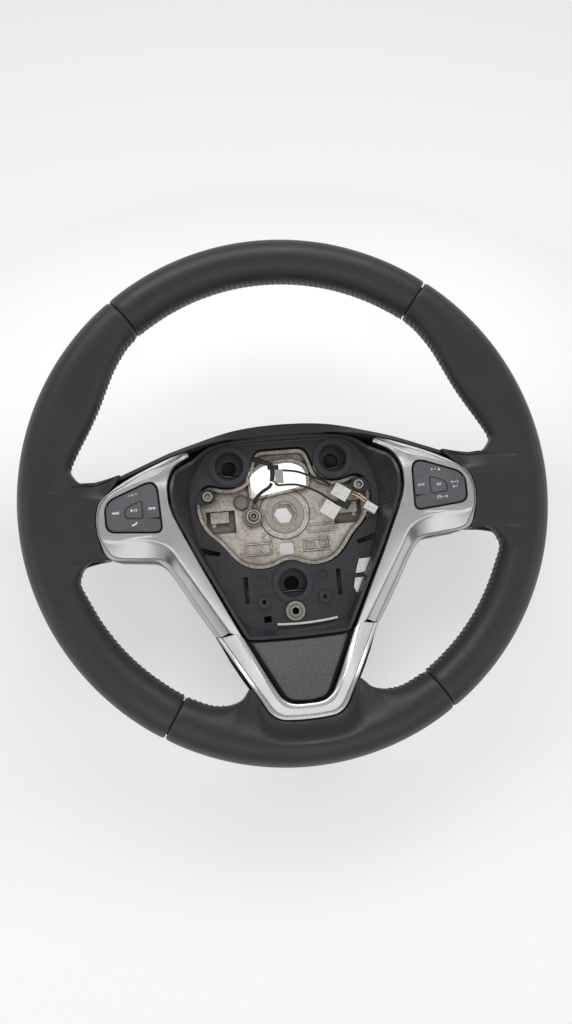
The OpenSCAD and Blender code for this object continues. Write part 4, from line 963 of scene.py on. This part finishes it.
LACING_PITCH = 3.9
LACING_LEAN = 0.7
LACING_R = 0.36
LACING_RISE = 0.1


def lacing_path(st):
    """A short way over the join at the inner edge, a little above the leather."""
    outer = 8
    inner = 26
    reach = 5
    ring = rim_section(st, -LACING_RISE, outer, inner)
    join = outer + 1 + inner
    return [Vector(p) for p in ring[join - reach:join + reach]]


def add_lacing(name, stations, side=1):
    """Slanting stitches along the inner edge, where the leather's two edges meet."""
    points = []
    faces = []
    walked = 0
    due = LACING_PITCH
    for before, after in zip(stations, stations[1:]):
        gap = (Vector(after[1:3]) - Vector(before[1:3])).length
        while walked + gap > due:
            t = (due - walked) / gap
            if max(before[5], after[5]) < 0.2:
                half = LACING_LEAN / gap
                left = [a + (b - a) * (t - half) for a, b in zip(before, after)]
                right = [a + (b - a) * (t + half) for a, b in zip(before, after)]
                from_path = lacing_path(left)
                to_path = lacing_path(right)
                count = len(from_path)
                line = [p.lerp(q, k / (count - 1)) for k, (p, q) in enumerate(zip(from_path, to_path))]
                bit, ends = tube(line, LACING_R, 6)
                base = len(points)
                points += [(v.x * side, v.y, v.z) for v in bit]
                faces += [[base + k for k in face] for face in ends]
            due += LACING_PITCH
        walked += gap
    piece = add_mesh(name, points, faces, "wheel", THREAD)
    face_outward(piece)


def add_leather():
    add_lacing("lacing_top", leather_panel("leather_top", top_stations()))
    add_lacing("lacing_right", leather_panel("leather_right", side_stations()))
    add_lacing("lacing_left", leather_panel("leather_left", side_stations(), -1), -1)
    add_lacing("lacing_bottom", leather_panel("leather_bottom", bottom_stations()))


# Marks on the switches: generic arrows, signs and ON / OFF, as thin inlays in the pod's frame

THIN = 0.36
INLAY = 0.06
BUTTON_RISE = 0.49


def stroke(line, width):
    """Outline of a flat stroke along a line of points, with square ends."""
    line = [Vector(p) for p in line]
    left = []
    right = []
    for i, point in enumerate(line):
        before = (point - line[i - 1]).normalized() if i else None
        after = (line[i + 1] - point).normalized() if i + 1 < len(line) else None
        along = (before or after) + (after or before)
        along.normalize()
        grow = 1 / max(0.5, along.dot(before or after))
        across = Vector((-along.y, along.x)) * width / 2 * grow
        left.append(point + across)
        right.append(point - across)
    return left + right[::-1]


def arc_line(middle, radius, start, end, steps, squash=1.0):
    """Points on an arc from start to end, in degrees."""
    angles = [math.radians(start + (end - start) * k / steps) for k in range(steps + 1)]
    return [(middle[0] + radius * math.cos(a), middle[1] + radius * squash * math.sin(a))
            for a in angles]


LETTERS = {
    "O": [arc_line((0, 0), 0.62, 0, 175, 8, 1.3), arc_line((0, 0), 0.62, 180, 355, 8, 1.3)],
    "N": [[(-0.55, -0.85), (-0.55, 0.85)], [(-0.55, 0.7), (0.55, -0.7)], [(0.55, -0.85), (0.55, 0.85)]],
    "F": [[(-0.45, -0.85), (-0.45, 0.85)], [(-0.3, 0.7), (0.5, 0.7)], [(-0.3, 0), (0.4, 0)]]}


def word(letters, u, v, scale):
    """Strokes of a short word, centred at u and v."""
    shapes = []
    step = 1.75 * scale
    for k, letter in enumerate(letters):
        middle = u + (k - (len(letters) - 1) / 2) * step
        for line in LETTERS[letter]:
            shapes.append(stroke([(middle + x * scale, v + y * scale) for x, y in line], 0.34))
    return shapes


def arrow(u, v, size, turn):
    """A filled triangle pointing at turn degrees from +u."""
    a = math.radians(turn)
    corners = [(size * 0.6, 0), (-size * 0.5, size * 0.55), (-size * 0.5, -size * 0.55)]
    return [Vector((u + x * math.cos(a) - y * math.sin(a), v + x * math.sin(a) + y * math.cos(a)))
            for x, y in corners]


def bar(u, v, w, h):
    """A level bar, w long and h thick."""
    return stroke([(u - w / 2, v), (u + w / 2, v)], h)


def plus(u, v, size):
    """A plus sign in three pieces that don't overlap."""
    clear = 0.19
    return [bar(u, v, size, THIN), stroke([(u, v - size / 2), (u, v - clear)], THIN),
            stroke([(u, v + clear), (u, v + size / 2)], THIN)]


def chevron(u, v, size, turn):
    """An open arrow head pointing at turn degrees from +u."""
    a = math.radians(turn)
    line = [(-size * 0.3, size * 0.6), (size * 0.3, 0), (-size * 0.3, -size * 0.6)]
    return stroke([(u + x * math.cos(a) - y * math.sin(a), v + x * math.sin(a) + y * math.cos(a))
                   for x, y in line], 0.38)


def paddle_rise(u):
    """Height of the raised inner key over the pad's face."""
    return 1.1 - 0.07 * (u + 18.9)


def add_marks(name, body, shapes, side, height, material=None, rise=0.035):
    """Thin inlays; shapes are given as seen from the front, x to the right in the image."""
    points = []
    faces = []
    for shape in shapes:
        n = len(shape)
        base = len(points)
        for drop in (-INLAY, rise):
            for x, y in shape:
                u = x * side
                top = height(u) if callable(height) else height
                points.append(in_pod(u, y, top + drop, side))
        faces += [[base + k, base + (k + 1) % n, base + n + (k + 1) % n, base + n + k]
                  for k in range(n)]
        faces += [[base + k for k in range(n - 1, -1, -1)], [base + n + k for k in range(n)]]
    piece = add_mesh(name, points, faces, body, material or MARK, smooth=False)
    face_outward(piece)


KEY_OPENING = [(-6, 5.2, 2.5), (6.1, -0.1, 3.5), (6.1, -7, 2.5), (-6.1, -8, 2.5)]


def add_pad_details():
    """A dark joint round each centre button, the low tactile ridges and a painted shadow under the key's
    lower step.
    """
    for side, name in ((-1, "left"), (1, "right")):
        loop = [(x * side, y) for x, y in soft_loop(KEY_OPENING, 6)]
        joint = []
        for k in range(len(loop)):
            joint.append(stroke([loop[k], loop[(k + 1) % len(loop)]], 0.5))
        add_marks(f"{name}_joint", f"{name}_pad", joint, side, 0, BLACK, 0.03)
        ridges = [bar(1.2 * side, -15.6, 6.4, 0.55), stroke([(18.3 * side, -4), (18.1 * side, 3)], 0.45)]
        add_marks(f"{name}_ridges", f"{name}_pad", ridges, side, 0, KEY, 0.35)
        # Painted shadow: a black wedge under the raised key's lower step.
        step = [Vector((-18.6 * side, -7.7)), Vector((-10.4 * side, -7.7)), Vector((-18.3 * side, -9.3))]
        add_marks(f"{name}_step", f"{name}_pad", [step], side, 0, BLACK, 0.04)


def add_all_marks():
    """The marks of both switches, on the face, the raised inner key and the centre button."""
    right_face = [
        *plus(-3.6, 9.6, 1.7), bar(-1.4, 9.5, 1.3, 0.42), arrow(1.5, 9.3, 1.7, 90),
        stroke(arc_line((-0.4, -11), 1.25, -35, 215, 14), 0.4),
        stroke([(-0.4, -11), (0.35, -10.2)], THIN), bar(2.4, -10.6, 1.3, 0.4),
        arrow(4.6, -10.9, 1.5, -90),
        chevron(9.6, -0.9, 1.5, 180), bar(11.5, -0.9, 2, 0.42), chevron(13.6, -0.9, 1.5, 0),
        arrow(10.6, -4.1, 1.5, 90), bar(12.6, -4.1, 1.6, 0.42)]
    add_marks("right_pad_marks", "right_pad", right_face, 1, 0)
    add_marks("right_key_marks", "right_pad", word("OFF", -12.2, -0.9, 0.95), 1, paddle_rise)
    add_marks("right_button_marks", "right_button", word("ON", 0.2, -1.5, 0.95), 1,
              BUTTON_RISE)
    left_face = [
        bar(-2.6, 8.6, 1.3, 0.4), *plus(-0.2, 9, 1.8), bar(2.3, 9.6, 1.8, 0.4),
        arrow(-14, -2.7, 1.9, 180), arrow(-11.9, -2.7, 1.9, 180), bar(-10.2, -2.7, 0.5, 2.1),
        stroke([(-1.9, -12.1), (-0.4, -11.8), (1, -10.9), (1.7, -9.9)], 1.05)]
    add_marks("left_pad_marks", "left_pad", left_face, -1, 0)
    left_key = [bar(10.4, -1.2, 0.5, 2.1), arrow(12.1, -1.2, 1.9, 0), arrow(14.2, -1.2, 1.9, 0)]
    add_marks("left_key_marks", "left_pad", left_key, -1, paddle_rise)
    left_button = [arrow(-1, -1.7, 2, 0), bar(0.8, -1.7, 0.45, 1.9), bar(1.9, -1.7, 0.45, 1.9)]
    add_marks("left_button_marks", "left_button", left_button, -1, BUTTON_RISE)


# Leads: held at both ends, on the CAD's routes, but round and smooth

TRUNK_ROUTE = [[-24, 44, 28], [-20, 42, 29], [-13, 39, 29.5], [-7.5, 36.8, 29], [-6.6, 33, 28.4],
               [-6.8, 28, 28], [-7.6, 24.4, 28]]
EARTH_ROUTE = [[-7.9, 23, 28], [-10, 20.2, 27.8], [-15, 17.4, 27.4], [-19, 14.2, 27],
               [-21.2, 10.8, 26.6], [-21.8, 8.4, 26.2]]
UPPER_ROUTE = [[-4.6, 32.4, 28.2], [4, 31.6, 28.2], [12, 30, 28.4], [20, 26.6, 28.8],
               [28, 22.8, 29], [36, 18, 29]]
LOWER_ROUTE = [[-5.6, 24.4, 28], [-3.4, 21.2, 28], [3, 21, 28], [11, 20.2, 28.2],
               [19, 17.2, 28.6], [26, 13.4, 28.8], [32, 9, 28.8], [37, 5, 28.6]]
COPPER_ROUTE = [[51, 9.6, 30], [54, 8, 31], [57, 5.2, 32.6], [59.6, 2, 34.4]]


def add_lead(name, route, radius, material):
    """One smooth insulated lead in the place of the CAD's."""
    piece = add_mesh(f"{name}_skin", *tube(through(route, 8), radius, 16), "wheel", material)
    face_outward(piece)
    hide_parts(name)


def add_leads():
    """The taped trunk, three insulated leads and the two bare twisted ones."""
    wrapped = through(TRUNK_ROUTE, 26)
    turns = 7
    trunk = add_mesh("harness_trunk_skin",
                     *tube(wrapped, lambda i: 1.74 + 0.1 * ((i % turns) / 6), 18), "wheel", TAPE)
    face_outward(trunk)
    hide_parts("harness_trunk")
    add_lead("earth_lead", EARTH_ROUTE, 1.3, RUBBER)
    add_lead("upper_lead", UPPER_ROUTE, 0.85, RUBBER)
    add_lead("lower_lead", LOWER_ROUTE, 0.85, RUBBER)
    points = []
    faces = []
    for shift in (Vector((0, 0, 0)), Vector((1.2, 1.6, 0.4))):
        line = [Vector(p) + shift for p in through(COPPER_ROUTE, 8)]
        bit, ends = tube(line, lambda i: 0.56 + 0.05 * math.sin(i * 1.9), 12)
        base = len(points)
        points += bit
        faces += [[base + k for k in face] for face in ends]
    copper = add_mesh("copper_leads_skin", points, faces, "wheel", COPPER)
    face_outward(copper)
    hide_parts("copper_leads")


add_camera()
add_stage()
add_light()
dress_nodes()
add_leather()
add_bezels()
add_lower_trim()
add_chin()
add_all_marks()
add_pad_details()
add_leads()
